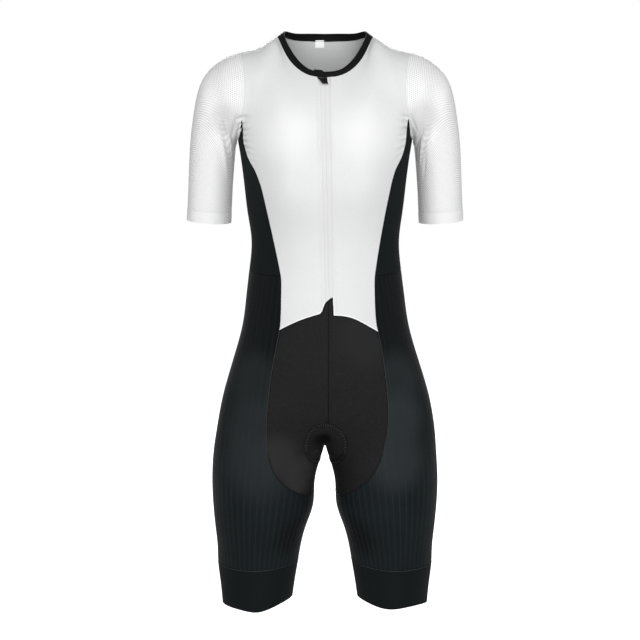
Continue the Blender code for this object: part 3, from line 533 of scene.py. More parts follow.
def add_leg(cage, name, sign):
    """Points of a leg; gives its rings, the first of them round the end of the trunk."""
    last = len(TRUNK) - 1
    rings = [[("t", last, sign * c % ROUND) for c in range(HALF + 1)]
             + [("c", 2), ("c", 1), ("c", 0)]]
    for r, (z, outer, inner, front, back, lift, bend) in enumerate(LEG):
        rings.append([(name, r, k) for k in range(LEG_ROUND)])
        for k, key in enumerate(rings[-1]):
            angle = math.radians(360 * (k - 6) / LEG_ROUND)
            x = (outer + inner) / 2 + (outer - inner) / 2 * power(math.cos(angle), bend)
            y = (front + back) / 2 + (back - front) / 2 * power(math.sin(angle), bend)
            up = lift * (1 - math.cos(angle)) / 2
            if r == len(LEG) - 1 and k < len(HEM_DROP[name]):
                up -= HEM_DROP[name][k]
            cage.put(key, (sign * x, y, z + up))
    return rings


def build_cage():
    """The whole net. Left and right share flat widths, evened out down the trunk and leg."""
    cage = Cage()
    trunk_u, trunk_v = add_trunk(cage)
    add_body(cage, trunk_u)
    add_binding(cage)
    for name, sign in (("sleeve_left", 1), ("sleeve_right", -1)):
        add_sleeve(cage, name, sign)
    for j, (y, z) in enumerate(CROTCH):
        cage.put(("c", j), (0, y, z))
    last = len(TRUNK) - 1
    order = [(j + LEG_START) % LEG_ROUND for j in range(LEG_ROUND + 1)]
    for name, sign in (("leg_left", 1), ("leg_right", -1)):
        rings = add_leg(cage, name, sign)
        if sign > 0:
            grid = [cage.at([row[k] for k in order]) for row in rings]
            under = (trunk_v[last][0] + trunk_v[last][HALF]) / 2 + 20
            leg_u = [arc(row, 4) for row in grid]
            leg_v = down(grid, [trunk_v[last][k] if k <= HALF else under for k in order])
            trunk_u = evened(trunk_u + [row[2:HALF + 3] for row in leg_u[1:]])
            for row, even in zip(leg_u, trunk_u[last:]):
                row[2:HALF + 3] = even
        cage.tube(name, rings, leg_u, leg_v, sign, LEG_START)
    for r in range(last):
        for c in range(ROUND):
            d = (c + 1) % ROUND
            keys = (("t", r, c), ("t", r + 1, c), ("t", r + 1, d), ("t", r, d))
            cage.quad("trunk", keys, round_corners(trunk_u, trunk_v, r, r + 1, c))
    return cage


def fit_cage(cage, rounds=8):
    """Move the net so that its smooth surface passes through the wanted points."""
    beside, across = ([[] for _ in cage.points] for _ in range(2))
    for face in cage.faces:
        for i in range(4):
            a, b = face[i], face[(i + 1) % 4]
            beside[a].append(b)
            beside[b].append(a)
            across[a].append(face[(i + 2) % 4])
    wanted = [point.copy() for point in cage.points]
    for _ in range(rounds):
        points, cage.points = cage.points, []
        for i, point in enumerate(points):
            rim = [points[j] for j in beside[i] if beside[i].count(j) == 1]
            if rim:
                limit = (point * 4 + rim[0] + rim[1]) / 6
            else:
                others = set(beside[i])
                n = len(others)
                limit = point * n * n
                for j in others:
                    limit = limit + points[j] * 4
                for j in across[i]:
                    limit = limit + points[j]
                limit = limit / (n * (n + 5))
            cage.points.append(point + (wanted[i] - limit))


def worn_surface(detail):
    """The worn suit as one open quad mesh in mm; faces keep their zone number."""
    cage = build_cage()
    fit_cage(cage)
    mesh = mesh_of("worn", cage.points, cage.faces)
    flat = mesh.uv_layers.new(name="flat")
    flat.data.foreach_set("uv", [value for face in cage.flat for uv in face for value in uv])
    for _ in ZONES:
        mesh.materials.append(None)
    mesh.polygons.foreach_set("material_index", cage.zones)
    holder = placed("worn", mesh)
    levels = holder.modifiers.new("levels", "SUBSURF")
    levels.levels = levels.render_levels = detail
    bm = bmesh.new()
    bm.from_object(holder, bpy.context.evaluated_depsgraph_get())
    bpy.data.objects.remove(holder, do_unlink=True)
    bm.normal_update()
    return bm


def mesh_of(name, points, faces):
    mesh = bpy.data.meshes.new(name)
    mesh.from_pydata([tuple(point) for point in points], [], faces)
    return mesh


def placed(name, data):
    """A new object in the scene."""
    item = bpy.data.objects.new(name, data)
    bpy.context.scene.collection.objects.link(item)
    return item


def tree_of(points):
    tree = KDTree(len(points))
    for i, point in enumerate(points):
        tree.insert(point, i)
    tree.balance()
    return tree


def crease(bm, tree, near, face, rooted, x1, z1, x2, z2, width, depth):
    """The points that a crease moves, each with its height."""
    a, b = (tree.ray_cast(Vector((x, 0, z)), Vector((0, face, 0)))[0]
            for x, z in ((x1, z1), (x2, z2)))
    if a is None or b is None:
        return
    line = b - a
    for co, i, _ in near.find_range(a.lerp(b, 0.5), line.length / 2 + 3 * width):
        share = (co - a).dot(line) / line.length_squared
        off = co - (a + line * share)
        rise = off.dot(bm.verts[i].normal)
        if not -CREASE_BACK <= share <= 1 or abs(rise) > CREASE_SKIP:
            continue
        if rooted:
            along = 1.8 * (1 - share if share > 0 else 1 + 3.3 * share)
        else:
            along = math.sin(math.pi * share) ** 0.8 if share > 0 else 0
        away = (off - bm.verts[i].normal * rise).length / width
        form = math.exp(-away * away) * (1 - 0.9 * away * away)
        yield i, depth * along * form


def press_folds(bm):
    """Press the creases into the cloth."""
    tree = BVHTree.FromBMesh(bm)
    bm.verts.ensure_lookup_table()
    near = tree_of([v.co for v in bm.verts])
    moves = {}
    for face, rooted, rows in FOLDS:
        for row in rows:
            for i, move in crease(bm, tree, near, face, rooted, *row):
                moves[i] = moves.get(i, 0.0) + move
    for i, move in moves.items():
        bm.verts[i].co += bm.verts[i].normal * move
    bm.normal_update()


def refined(table, parts=4, column=1):
    """A table's first column and another one as a smooth dense curve: two arrays."""
    rows = [Vector((row[0], row[column])) for row in table]
    out = []
    for i in range(len(rows) - 1):
        a, b, c, d = rows[max(i - 1, 0)], rows[i], rows[i + 1], rows[min(i + 2, len(rows) - 1)]
        for k in range(parts):
            t = k / parts
            out.append((b * 2 + (c - a) * t + (a * 2 - b * 5 + c * 4 - d) * t * t
                        + (b * 3 - a - c * 3 + d) * t ** 3) / 2)
    out.append(rows[-1])
    return np.array([v.x for v in out]), np.array([v.y for v in out])


def reader(table, parts=4, column=1):
    """A function that reads a column at any value of the first."""
    first, other = refined(table, parts, column)
    order = np.argsort(first)
    first, other = first[order], other[order]
    return lambda value: np.interp(value, first, other)


def eased(value, low, high):
    share = np.clip((value - low) / (high - low), 0, 1)
    return share * share * (3 - 2 * share)


# Fields: signed distances at points given as rows of x, y, z.
def seam_field(table, column=1):
    z, x = refined(table, 3, column)

    def field(p):
        px, pz = np.abs(p[:, X]), p[:, Z]
        best, inside = np.full(len(p), 1e18), np.zeros(len(p), bool)
        for ax, az, bx, bz in zip(x, z, x[1:], z[1:]):
            dx, dz = bx - ax, bz - az
            share = np.clip(((px - ax) * dx + (pz - az) * dz) / (dx * dx + dz * dz), 0, 1)
            best = np.minimum(best, (px - ax - share * dx) ** 2 + (pz - az - share * dz) ** 2)
            if dz:
                inside |= ((az > pz) != (bz > pz)) & (px < ax + (pz - az) * dx / dz)
        return np.where(inside, -1, 1) * np.sqrt(best)
    return field


def past(axis, line, along):
    """How far points are past a line that gives one axis at the places of another."""
    return lambda p: p[:, axis] - line(p[:, along])


def level(z):
    return lambda p: p[:, Z] - z


front_right, front_left, back_seam = (seam_field(*curve) for curve in (
    (FRONT_SEAM, 1), (FRONT_SEAM, 2), (BACK_SEAM,)))
zip_left, zip_right = (past(X, reader(ZIP_EDGE, column=k), Z) for k in (1, 2))
hem_right, hem_left = (past(Z, reader(hem, 3), X) for hem in (HEM_RIGHT, HEM_LEFT))
yoke_z = reader(YOKE)
leg_front = past(Y, reader([(row[0], (row[3] + row[4]) / 2) for row in LEG], 1), Z)
rib_x, rib_y = (reader(RIB_AXIS, column=k) for k in (1, 2))


def body_seam(p):
    share = eased(p[:, Y], -14, 14)
    front = np.where(p[:, X] > 0, front_left(p), front_right(p))
    return front * (1 - share) + back_seam(p) * share


def gusset_edge(p):
    scale = np.sqrt(np.maximum(0.05, 1 - (p[:, Y] / GUSSET_HALF[Y]) ** 2))
    return np.hypot((p[:, X] - GUSSET_MIDDLE[0]) / (GUSSET_HALF[X] * scale),
                    (p[:, Z] - GUSSET_MIDDLE[1]) / (GUSSET_HALF[Z] * scale)) - 1


def zip_middle(p):
    return (zip_left(p) + zip_right(p)) / 2


def crotch_middle(p):
    return p[:, X] - 5 * eased(p[:, Z], -640, -590)


def yoke_edge(p):
    return p[:, Z] - yoke_z(np.abs(p[:, X]))


def grip_edge(p):
    return p[:, Z] - GRIP_Z - 5 * (171 - np.abs(p[:, X])) / 129


def in_box(x=1000, low=-2000, high=2000, front=False):
    """A test for points nearer than x to the middle, between two levels."""
    def test(p):
        found = (np.abs(p[:, X]) < x) & (p[:, Z] > low) & (p[:, Z] < high)
        return found & (p[:, Y] < -20) if front else found
    return test


def places(items):
    return np.array([tuple(item) for item in items]).reshape(-1, 3)


def edges_of(faces):
    return list(dict.fromkeys(e for f in faces for e in f.edges))


def crossed(faces, value):
    """The faces on which value is 0 somewhere."""
    return [f for f in faces if min(value[v] for v in f.verts) <= 0
            <= max(value[v] for v in f.verts)]


def split(faces, value):
    """Cut faces along the line where value is 0; gives the new points."""
    fresh = []
    for e in edges_of(faces):
        a, b = e.verts
        if value[a] * value[b] < 0:
            _, v = bmesh.utils.edge_split(e, a, value[a] / (value[a] - value[b]))
            value[v] = 0.0
            fresh.append(v)
    for face in faces:
        ring = list(face.verts)
        signs = [0 if abs(value[v]) < 1e-9 else math.copysign(1, value[v]) for v in ring]
        zeros = [i for i, s in enumerate(signs) if s == 0]
        for i, j in [(i, j) for i in zeros for j in zeros if j - i > 1]:
            inner = set(signs[i + 1:j]) - {0}
            outer = set(signs[j + 1:] + signs[:i]) - {0}
            if len(inner) == 1 and len(outer) == 1 and inner != outer:
                bmesh.utils.face_split(face, ring[i], ring[j])
                break
    return fresh


def cut(bm, field, where, pinned):
    """Draw the line where field is zero into the mesh, inside the faces of where."""
    hit = where(places(f.calc_center_median() for f in bm.faces))
    faces = [f for f, yes in zip(bm.faces, hit) if yes]
    verts = list(dict.fromkeys(v for f in faces for v in f.verts))
    value = dict(zip(verts, field(places(v.co for v in verts)).tolist()))
    faces = crossed(faces, value)
    nearest = {}
    for e in edges_of(faces):
        a, b = e.verts
        if value[a] * value[b] >= 0:
            continue
        share = value[a] / (value[a] - value[b])
        for v, other, part in ((a, b, share), (b, a, 1 - share)):
            limit = PINNED_SNAP if v in pinned else SNAP
            if part < limit and (v not in nearest or part < nearest[v][0]):
                nearest[v] = (part, v.co.lerp(other.co, part))
    for v, (part, place) in nearest.items():
        if v not in pinned:
            v.co = place
        value[v] = 0.0
        pinned.add(v)
    pinned.update(split(faces, value))


def sums(bm, field):
    """The sum of a field over the corners of every face."""
    bm.verts.index_update()
    values = field(places(v.co for v in bm.verts))
    corner = [v.index for f in bm.faces for v in f.verts]
    first = np.cumsum([0] + [len(f.verts) for f in bm.faces])[:-1]
    return np.add.reduceat(values[corner], first)


def draw_seams(bm):
    """Cut all the seams into the mesh."""
    pinned = set()
    front = in_box(40, front=True)

    def draw(field, where):
        cut(bm, field, where, pinned)

    def shown(p):
        return front(p) & (hem_right(p) > -4)

    draw(body_seam, in_box(136, high=-60))
    draw(level(WAIST_Z), in_box(low=-420, high=-300))
    draw(zip_right, lambda p: front(p) & (p[:, Z] > -430))
    draw(hem_right, lambda p: in_box(90, -470, -370, True)(p) & (zip_right(p) < 0))
    draw(hem_left, lambda p: in_box(90, -470, -395, True)(p) & (zip_right(p) > 0))
    draw(level(TONGUE_Z), in_box(82, -400, -340, True))
    draw(zip_left, shown)
    draw(zip_middle, shown)
    if max(v.co.z for v in bm.verts) > -100:
        for step in BAND:
            draw(lambda p: zip_left(p) + step, shown)
            draw(lambda p: zip_right(p) - step, lambda p: front(p) & (hem_left(p) > -4))
        draw(yoke_edge, lambda p: in_box(136, -60)(p) & (p[:, Y] < 0))
    else:
        draw(grip_edge, in_box(high=-760))
        draw(gusset_edge, in_box(75, -700, -540))
        draw(leg_front, in_box(110, high=-600))
    draw(crotch_middle, in_box(40, -640, -370, True))


def label_faces(bm):
    """The number of the piece that shows on each face, and on which side the crotch front
    runs on under it: 0 nowhere, 1 right, 2 left."""
    zone = np.array(ZONES)[[f.material_index for f in bm.faces]]
    x, y, z = places(f.calc_center_median() for f in bm.faces).T

    def inside(field):
        return sums(bm, field) < 0

    def beyond(field):
        return sums(bm, field) > 0

    def pick(yes, name):
        return np.where(yes, NUMBER[name + "_left"], NUMBER[name + "_right"])

    left, above, right_of_zip = x > 0, beyond(level(WAIST_Z)), beyond(zip_right)
    front = np.where(z < -560, inside(leg_front), (zone == "chest") | ((zone == "trunk") & (y < 0)))
    hem = np.where(right_of_zip, beyond(hem_left), beyond(hem_right))
    label = pick(right_of_zip, "front")
    label = np.where(~right_of_zip & beyond(zip_left), pick(beyond(zip_middle), "zip_tape"), label)
    label = np.where(hem, label, pick(beyond(crotch_middle), "lower_front"))
    label = np.where(~front, np.where(above, NUMBER["back"], NUMBER["seat"]), label)
    label = np.where(front & (z > -60) & beyond(yoke_edge), NUMBER["back"], label)
    sewn = (z < -60) & beyond(body_seam)
    label = np.where(sewn, np.where(above, pick(left, "side"), pick(left, "leg")), label)
    near = (np.abs(x) < 75) & (z < -540) & (z > -700)
    label = np.where(near & inside(gusset_edge), NUMBER["crotch_gusset"], label)
    label = np.where((z < -600) & inside(grip_edge), pick(left, "gripper"), label)
    for place, name in (("binding", "neck_binding"), *((side, side) for side in SLEEVES)):
        label = np.where(zone == place, NUMBER[name], label)
    tongue = np.isin(label, [NUMBER[name] for name in OVER_TONGUE]) & inside(level(TONGUE_Z))
    return label.tolist(), (tongue * (1 + beyond(crotch_middle))).tolist()


def distances(bm, edges, step=0.5):
    """How far every point is from the nearest of the edges."""
    if not edges:
        return {v: FAR for v in bm.verts}
    spots = []
    for e in edges:
        a, b = e.verts
        parts = max(1, int(math.ceil((b.co - a.co).length / step)))
        spots += [a.co.lerp(b.co, i / parts) for i in range(parts + 1)]
    tree = tree_of(spots)
    return {v: min(FAR, tree.find(v.co)[2]) for v in bm.verts}


class Form:
    """The worn surface between two levels, cut along its seams."""

    def __init__(self, detail, low, high):
        self.bm = bm = worn_surface(detail)
        spare = [f for f in bm.faces if not low < f.calc_center_median().z < high]
        bmesh.ops.delete(bm, geom=spare, context="FACES")
        press_folds(bm)
        draw_seams(bm)
        bmesh.ops.triangulate(bm, faces=[f for f in bm.faces if len(f.verts) > 4])
        kind = dict(zip(bm.faces, label_faces(bm)[0]))
        seam, free, ring = [], [], []
        self.seams = {}
        for e in bm.edges:
            ends = {NAMES[kind[f]] for f in e.link_faces}
            if len(e.link_faces) == 1:
                free.append(e)
            elif len(ends) == 2:
                self.seams.setdefault(frozenset(ends), []).append(
                    tuple((v.co.copy(), v.normal.copy()) for v in e.verts))
                under_hem = ends & LOWER_FRONTS and not all(name.startswith(LOWER)
                                                            for name in ends)
                (free if under_hem else seam).append(e)
                if "crotch_gusset" in ends:
                    ring.append(e)
        beyond_roll = {v: away - LIP for v, away in distances(bm, seam + free).items()}
        split(crossed(bm.faces, beyond_roll), beyond_roll)
        label, tongue = label_faces(bm)
        self.kind = dict(zip(bm.faces, label))
        self.tongue = dict(zip(bm.faces, tongue))
        self.seam, self.free, self.ring = (distances(bm, edges) for edges in (seam, free, ring))
        bm.normal_update()


upper = Form(FINE, UPPER_LOW, 100)
lower = Form(COARSE, -2000, LOWER_HIGH)


# Materials.
def node(tree, kind, *inputs, **settings):
    """The outputs of a new shader node; its inputs, in order, are values, sockets or None."""
    new = tree.nodes.new("ShaderNode" + kind)
    for key, value in settings.items():
        setattr(new, key, value)
    for socket, value in zip(new.inputs, inputs):
        if isinstance(value, bpy.types.NodeSocket):
            tree.links.new(value, socket)
        elif value is not None:
            socket.default_value = value
    return new.outputs


def grey(r, g=None, b=None):
    return (r, r if g is None else g, r if b is None else b, 1)


def scaled(colour, k):
    return (colour[0] * k, colour[1] * k, colour[2] * k, 1)


MATERIALS = {}


class Cloth:
    """A cloth material, kept under its name; its patterns follow the flat coordinates u, v."""

    def __init__(self, name, roughness, specular, painted_glow=0):
        MATERIALS[name] = bpy.data.materials.new(name)
        MATERIALS[name].use_nodes = True
        self.tree = MATERIALS[name].node_tree
        self.shader = self.tree.nodes["Principled BSDF"].inputs
        self.shader["Roughness"].default_value = roughness
        self.shader["Specular IOR Level"].default_value = specular
        # painted light: an emission that makes the cloth glow and lifts its shade
        self.shader["Emission Strength"].default_value = painted_glow
        self.place = self.node("TexCoord")["Object"]
        self.u, self.v, _ = self.node("SeparateXYZ", self.node("UVMap", uv_map="flat")[0])
        self.z = self.node("SeparateXYZ", self.place)[2]

    def node(self, kind, *inputs, **settings):
        return node(self.tree, kind, *inputs, **settings)

    def m(self, operation, *inputs):
        return self.node("Math", *inputs, operation=operation)[0]

    def wave(self, along, pitch):
        """A sine from 0 to 1 with this pitch in mm."""
        turn = self.m("MULTIPLY_ADD", along, 2 * math.pi / pitch, 0)
        return self.m("MULTIPLY_ADD", self.m("SINE", turn), 0.5, 0.5)

    def noise(self, scale, low=0, high=1, detail=2):
        """Noise from 0 to 1, stretched so that low and high become 0 and 1."""
        return self.ramp(self.node("TexNoise", self.place, None, scale, detail)[0], low, high)

    def attribute(self, name):
        return self.node("Attribute", attribute_name=name)["Fac"]

    def ramp(self, value, low, high, kind="LINEAR"):
        """0 at low, 1 at high, even if high is the smaller."""
        return self.node("MapRange", value, low, high, interpolation_type=kind)[0]

    def soft(self, value, low, high):
        return self.ramp(value, low, high, "SMOOTHSTEP")

    def below(self, value, edge, soft=0.3):
        """1 where value is under edge, falling to 0 over soft."""
        return self.ramp(value, edge + soft, edge)

    def spot(self, place, reach, core):
        """1 within core of a place, falling to 0 at reach; all in metres."""
        away = self.node("VectorMath", self.place, place, operation="DISTANCE")["Value"]
        return self.soft(away, reach, core)

    def paint_light_patches(self, tone, base, rows, part):
        """The tone with painted highlights and painted shade at soft places: rows of x, y, z,
        reach, shade.
        """
        for *place, reach, shade in rows:
            tone = self.mix(self.spot(place, reach, 0.35 * reach), tone, scaled(base, shade), part)
        return tone

    def line(self, value, middle, half, soft=0.3):
        return self.below(self.m("ABSOLUTE", self.m("SUBTRACT", value, middle)), half, soft)

    def mix(self, share, a, b, part=1):
        """Blend from colour a to b by share times part."""
        if part != 1:
            share = self.m("MULTIPLY", share, part)
        return self.node("Mix", share, *[None] * 5, a, b, data_type="RGBA")[2]

    def mottled(self, scale, base, dark, light):
        return self.mix(self.noise(scale, 0.3, 0.7), scaled(base, dark), scaled(base, light))

    def knit(self, wale=1.1, course=0.9):
        """Fine knit height: columns of loops with their courses."""
        rows = self.wave(self.v, course)
        loops = self.wave(self.m("MULTIPLY_ADD", rows, 0.3 * wale, self.u), wale)
        return self.m("MULTIPLY", loops, self.m("MULTIPLY_ADD", rows, 0.6, 0.4))

    def beside(self, name, width, soft, tone, colour, part=1):
        """The tone, with another colour beside the seam, the free edge or the ring."""
        return self.mix(self.below(self.attribute(name), width, soft), tone, colour, part)

    def finish(self, colour, height, depth):
        self.tree.links.new(colour, self.shader["Base Color"])
        bump = self.node("Bump", None, depth, None, height)[0]
        self.tree.links.new(bump, self.shader["Normal"])


def white_cloth():
    c = Cloth("white_cloth", 0.37, 0.5)
    tone = c.mottled(14, WHITE, 0.975, 1.02)
    tone = c.mix(c.noise(420, 0.3, 0.7, 1), tone, grey(0.66), 0.22)
    # painted highlights: the chest's fullest places painted lighter
    for place in CHEST_PAINTED_HIGHLIGHTS:
        tone = c.mix(c.spot(place, 0.066, 0.004), tone, grey(0.90), 0.7)
    loops = c.knit()
    tone = c.mix(loops, tone, grey(0.86), 0.15)
    # painted highlight along the hems' free edges, where light catches the cut edge
    tone = c.beside("free", 1.3, 0.6, tone, grey(0.92))
    c.finish(tone, loops, 0.0001)


def white_mesh():
    """Open mesh: square cells over the shoulder, which turn to bricks down the arm."""
    # painted light: the mesh glows a little, lifting its shaded sides in place of light through it
    c = Cloth("white_mesh", 0.42, 0.5, 0.035)
    a, b = (c.m("COSINE", c.m("MULTIPLY", way, 2 * math.pi / MESH_CELL)) for way in (c.u, c.v))
    squares = c.m("MULTIPLY_ADD", c.m("ADD", a, b), 0.5, -0.1)
    turned = c.ramp(c.v, 40, 90)
    cell = c.m("ADD", c.m("MULTIPLY", c.m("MULTIPLY", a, b), turned),
               c.m("MULTIPLY", squares, c.m("SUBTRACT", 1, turned)))
    gap = c.ramp(cell, 0.15, 0.6)
    free = c.attribute("free")
    shown = c.m("MULTIPLY_ADD", c.ramp(free, CUFF_HEM - 1, CUFF_HEM + 1.5), 0.35, 0.65)
    tone = c.mix(turned, grey(0.88), c.mottled(14, grey(1), 0.955, 0.985))
    hole = c.mix(turned, grey(0.52, 0.525, 0.53), grey(0.56, 0.565, 0.57))
    tone = c.mix(c.m("MULTIPLY", gap, shown), tone, hole)
    # painted shade on the sleeves beside the armpits
    tone = c.paint_light_patches(tone, grey(0.95), SLEEVE_PAINTED_SHADE, 0.8)
    dash = c.ramp(c.wave(c.u, 3.2), 0.3, 0.5)
    tone = c.mix(c.line(free, CUFF_STITCH, 1, 0.5), tone, grey(0.74), 0.7)
    tone = c.mix(c.m("MULTIPLY", c.line(free, CUFF_STITCH, 0.45), dash), tone, grey(0.95))
    tone = c.beside("seam", 0.5, 2.2, tone, grey(0.70), 0.55)
    tone = c.beside("free", 0.9, 0.5, tone, grey(0.92))
    c.finish(tone, c.m("SUBTRACT", 1, gap), 0.0003)


def black_cloth(name, base, roughness=0.55, specular=0.08, grain=0.12, ladder=False):
    c = Cloth(name, roughness, specular)
    tone = c.mottled(18, base, 0.9, 1.1)
    tone = c.mix(c.noise(430, 0.3, 0.7, 1), scaled(base, 1 - grain), tone)
    tone = c.mix(c.noise(300, 0.55, 0.8, 1), tone, scaled(base, 1 + grain))
    loops = c.knit()
    tone = c.mix(loops, tone, scaled(base, 1.6), 0.3)
    if ladder:
        # the band under the ladder stitch darkened: a dark seam, with painted shade in the gap
        # between the cloths
        tone = c.beside("ring", LADDER_HALF + 0.6, 0.4, tone, grey(0.004))
        # painted highlights and painted shade round the gusset and crotch
        tone = c.paint_light_patches(tone, base, CROTCH_PAINTED_LIGHT, 0.95)
    c.finish(c.beside("seam", 0.5, 0.5, tone, scaled(base, 0.3)), loops, 0.00012)


def ribbed_cloth():
    """Fine ribs down the leg, every second one stronger."""
    c = Cloth("ribbed_black_cloth", 0.42, 0.08)
    base = grey(0.0072, 0.0105, 0.0118)
    loops = c.knit()
    tone = c.mix(loops, c.mottled(18, base, 0.88, 1.12), scaled(base, 1.6), 0.3)
    strong, fine = (c.below(c.m("PINGPONG", c.m("ADD", c.u, 4 + shift), half), edge, soft)
                    for shift, half, edge, soft in ((0, RIB_PITCH / 2, 0.45, 0.7),
                                                    (RIB_PITCH / 4, RIB_PITCH / 4, 0.25, 0.6)))
    worn = c.m("MULTIPLY_ADD", c.noise(9, 0.35, 0.65), 0.5, 0.4)
    # painted shade: the legs darker towards their top
    tone = c.mix(c.soft(c.z, -0.58, -0.43), tone, scaled(base, 0.4), 0.9)
    shown = c.m("MULTIPLY", worn, c.m("MULTIPLY_ADD", c.soft(c.z, -0.56, -0.70), 0.65, 0.25))
    # painted highlights down the thighs and painted shade on their inner sides
    tone = c.paint_light_patches(tone, grey(0.0086, 0.0106, 0.0115), LEG_PAINTED_LIGHT, 0.9)
    tone = c.mix(c.m("MULTIPLY", strong, shown), tone, grey(0.0195, 0.0250, 0.0280))
    tone = c.mix(c.m("MULTIPLY", fine, shown), tone, scaled(base, 1.8), 0.6)
    tone = c.beside("seam", 0.5, 0.5, tone, scaled(base, 0.3))
    c.finish(tone, c.m("MULTIPLY_ADD", loops, 0.3, strong), 0.00025)


def tape_cloth():
    """The zip seen from its covered side: two woven halves over a line of coils."""
    c = Cloth("zip_tape", 0.5, 0.3)
    coils = c.wave(c.v, 1.6)
    tone = c.mix(coils, grey(0.760), grey(0.66), 0.2)
    c.finish(c.beside("seam", 0.35, 0.5, tone, grey(0.62), 0.45), coils, 0.00015)


def satin_black():
    c = Cloth("black_metal", 0.42, 0.14)
    c.finish(c.mix(c.noise(260), grey(0.005), grey(0.009)), c.noise(900), 0.00003)


def label_cloth():
    # painted light: the label glows to stay bright inside the shaded neck
    c = Cloth("label", 0.6, 0.2, 0.3)
    ribs = c.wave(c.u, 0.8)
    c.finish(c.mix(ribs, grey(0.90), grey(0.74), 0.3), ribs, 0.0001)


def thread_cloth(name, base):
    """Sewing thread, with painted shade where it dips in under the body between the legs."""
    c = Cloth(name, 0.5, 0.3)
    twist = c.noise(700, 0.3, 0.7)
    # painted shade: the thread near black between the legs
    under = c.m("MULTIPLY", c.soft(c.z, -0.624, -0.636), c.ramp(c.z, -0.72, -0.70))
    tone = c.mix(twist, scaled(base, 0.7), scaled(base, 1.3))
    c.finish(c.mix(under, tone, grey(0.006)), twist, 0.0001)


white_cloth()
white_mesh()
ribbed_cloth()
black_cloth("side_cloth", grey(0.0052, 0.0080, 0.0085))
black_cloth("crotch_cloth", grey(0.0125), 0.6, 0.11, 0.28, True)
black_cloth("band_cloth", grey(0.0058, 0.0085, 0.0090), 0.5)
black_cloth("binding_cloth", grey(0.0060))
tape_cloth()
satin_black()
label_cloth()
thread_cloth("grey_thread", grey(0.038, 0.043, 0.045))
thread_cloth("ladder_thread", grey(0.048))
thread_cloth("dark_thread", grey(0.006))


# Lifts: how far a cloth's outer face stands off the worn surface.
def rolled(seam, free):
    """The dip of a sewn edge."""
    dip = -ROLL * (1 - np.clip(seam / LIP, 0, 1)) ** 1.5
    return np.where(free < LIP, 0, dip)


def plain_lift(p, seam, free):
    return rolled(seam, free)


def white_lift(p, seam, free):
    return 0.5 * rolled(seam, free)


def front_lift(p, seam, free):
    edge = 0.45 * (1 - eased(free, 0, 11)) + 0.35 * (1 - eased(free, 1, 2.6))
    near = (np.abs(p[:, X]) < 40) & (p[:, Y] < -20)
    beside = np.where(near, np.maximum(-zip_left(p), zip_right(p)), 100)
    a, b, c, d = BAND
    band = 0.5 * eased(beside, a, b) * (1 - eased(beside, c, d))
    return edge + band + 0.5 * rolled(seam, free)


def tape_lift(p, seam, free):
    half = (zip_left(p) - zip_right(p)) / 2
    share = np.clip(np.abs(zip_middle(p)) / np.maximum(half, 1), 0, 1)
    return -0.35 + 0.45 * np.sin(math.pi * share) ** 0.7 + 0.3 * (1 - eased(free, 0, 6))


def binding_lift(p, seam, free):
    half = BINDING_WIDTH / 2
    d = np.minimum(np.minimum(seam, free), half)
    return 0.15 + 1 - (1 - d / half) ** 2


def sleeve_lift(p, seam, free):
    stitch = 0.2 * np.exp(-((free - CUFF_HEM) / 0.9) ** 2)
    return rolled(seam, free) + 0.3 * (1 - eased(free, CUFF_HEM - 1.2, CUFF_HEM)) - stitch


def crotch_lift(p, seam, free):
    beside = eased(zip_right(p), -9, -1)
    under = np.maximum(eased(hem_right(p), -10, -1), eased(hem_left(p), -10, -1) * beside)
    return -1.5 * under + np.where(under > 0.9, 0, rolled(seam, free))


def band_lift(p, seam, free):
    return 0.25 + rolled(seam, free)


PIECES = (
    # name, net, lift, wall, material, and the cut's width, length (mm) and area (cm2)
    ("neck_binding", upper, binding_lift, 2, "binding_cloth", 10.5, 400, 41),
    ("front_left", upper, front_lift, CLOTH, "white_cloth", 170, 430, 360),
    ("front_right", upper, front_lift, CLOTH, "white_cloth", 174, 428, 364),
    ("back", upper, white_lift, CLOTH, "white_cloth", 330, 410, 781),
    ("side_left", upper, plain_lift, CLOTH, "side_cloth", 177, 227, 275),
    ("side_right", upper, plain_lift, CLOTH, "side_cloth", 185, 225, 280),
    ("sleeve_left", upper, sleeve_lift, CLOTH, "white_mesh", 376, 276, 562),
    ("sleeve_right", upper, sleeve_lift, CLOTH, "white_mesh", 376, 276, 562),
    ("zip_tape_left", upper, tape_lift, CLOTH, "zip_tape", 10, 335, 21),
    ("zip_tape_right", upper, tape_lift, CLOTH, "zip_tape", 10, 340, 21),
    ("lower_front_left", lower, crotch_lift, CLOTH, "crotch_cloth", 137, 321, 244),
    ("lower_front_right", lower, crotch_lift, CLOTH, "crotch_cloth", 140, 322, 247),
    ("leg_left", lower, plain_lift, CLOTH, "ribbed_black_cloth", 486, 466, 1248),
    ("leg_right", lower, plain_lift, CLOTH, "ribbed_black_cloth", 486, 466, 1256),
    ("seat", lower, plain_lift, CLOTH, "side_cloth", 260, 360, 655),
    ("crotch_gusset", lower, plain_lift, CLOTH, "crotch_cloth", 90, 250, 126),
    ("gripper_left", lower, band_lift, 1.2, "band_cloth", 358, 98, 207),
    ("gripper_right", lower, band_lift, 1.2, "band_cloth", 358, 98, 211),
)


def faces_of(form, name):
    tongue = {"lower_front_right": 1, "lower_front_left": 2}.get(name)
    return [f for f in form.bm.faces
            if form.kind[f] == NUMBER[name] or form.tongue[f] == tongue]


def rib_flat(face, uv):
    """Flat coordinates whose first value counts ribs round the leg, in mm."""
    side = math.copysign(1, face.calc_center_median().x)
    out, last = [], None
    for lp in face.loops:
        x, y, z = lp.vert.co
        turn = math.atan2(y - rib_y(z), side * x - rib_x(z))
        if last is not None and abs(turn - last) > math.pi:
            turn += math.copysign(2 * math.pi, last - turn)
        last = turn if last is None else last
        out.append((turn * RIBS * RIB_PITCH / (2 * math.pi), lp[uv].uv[1]))
    return out


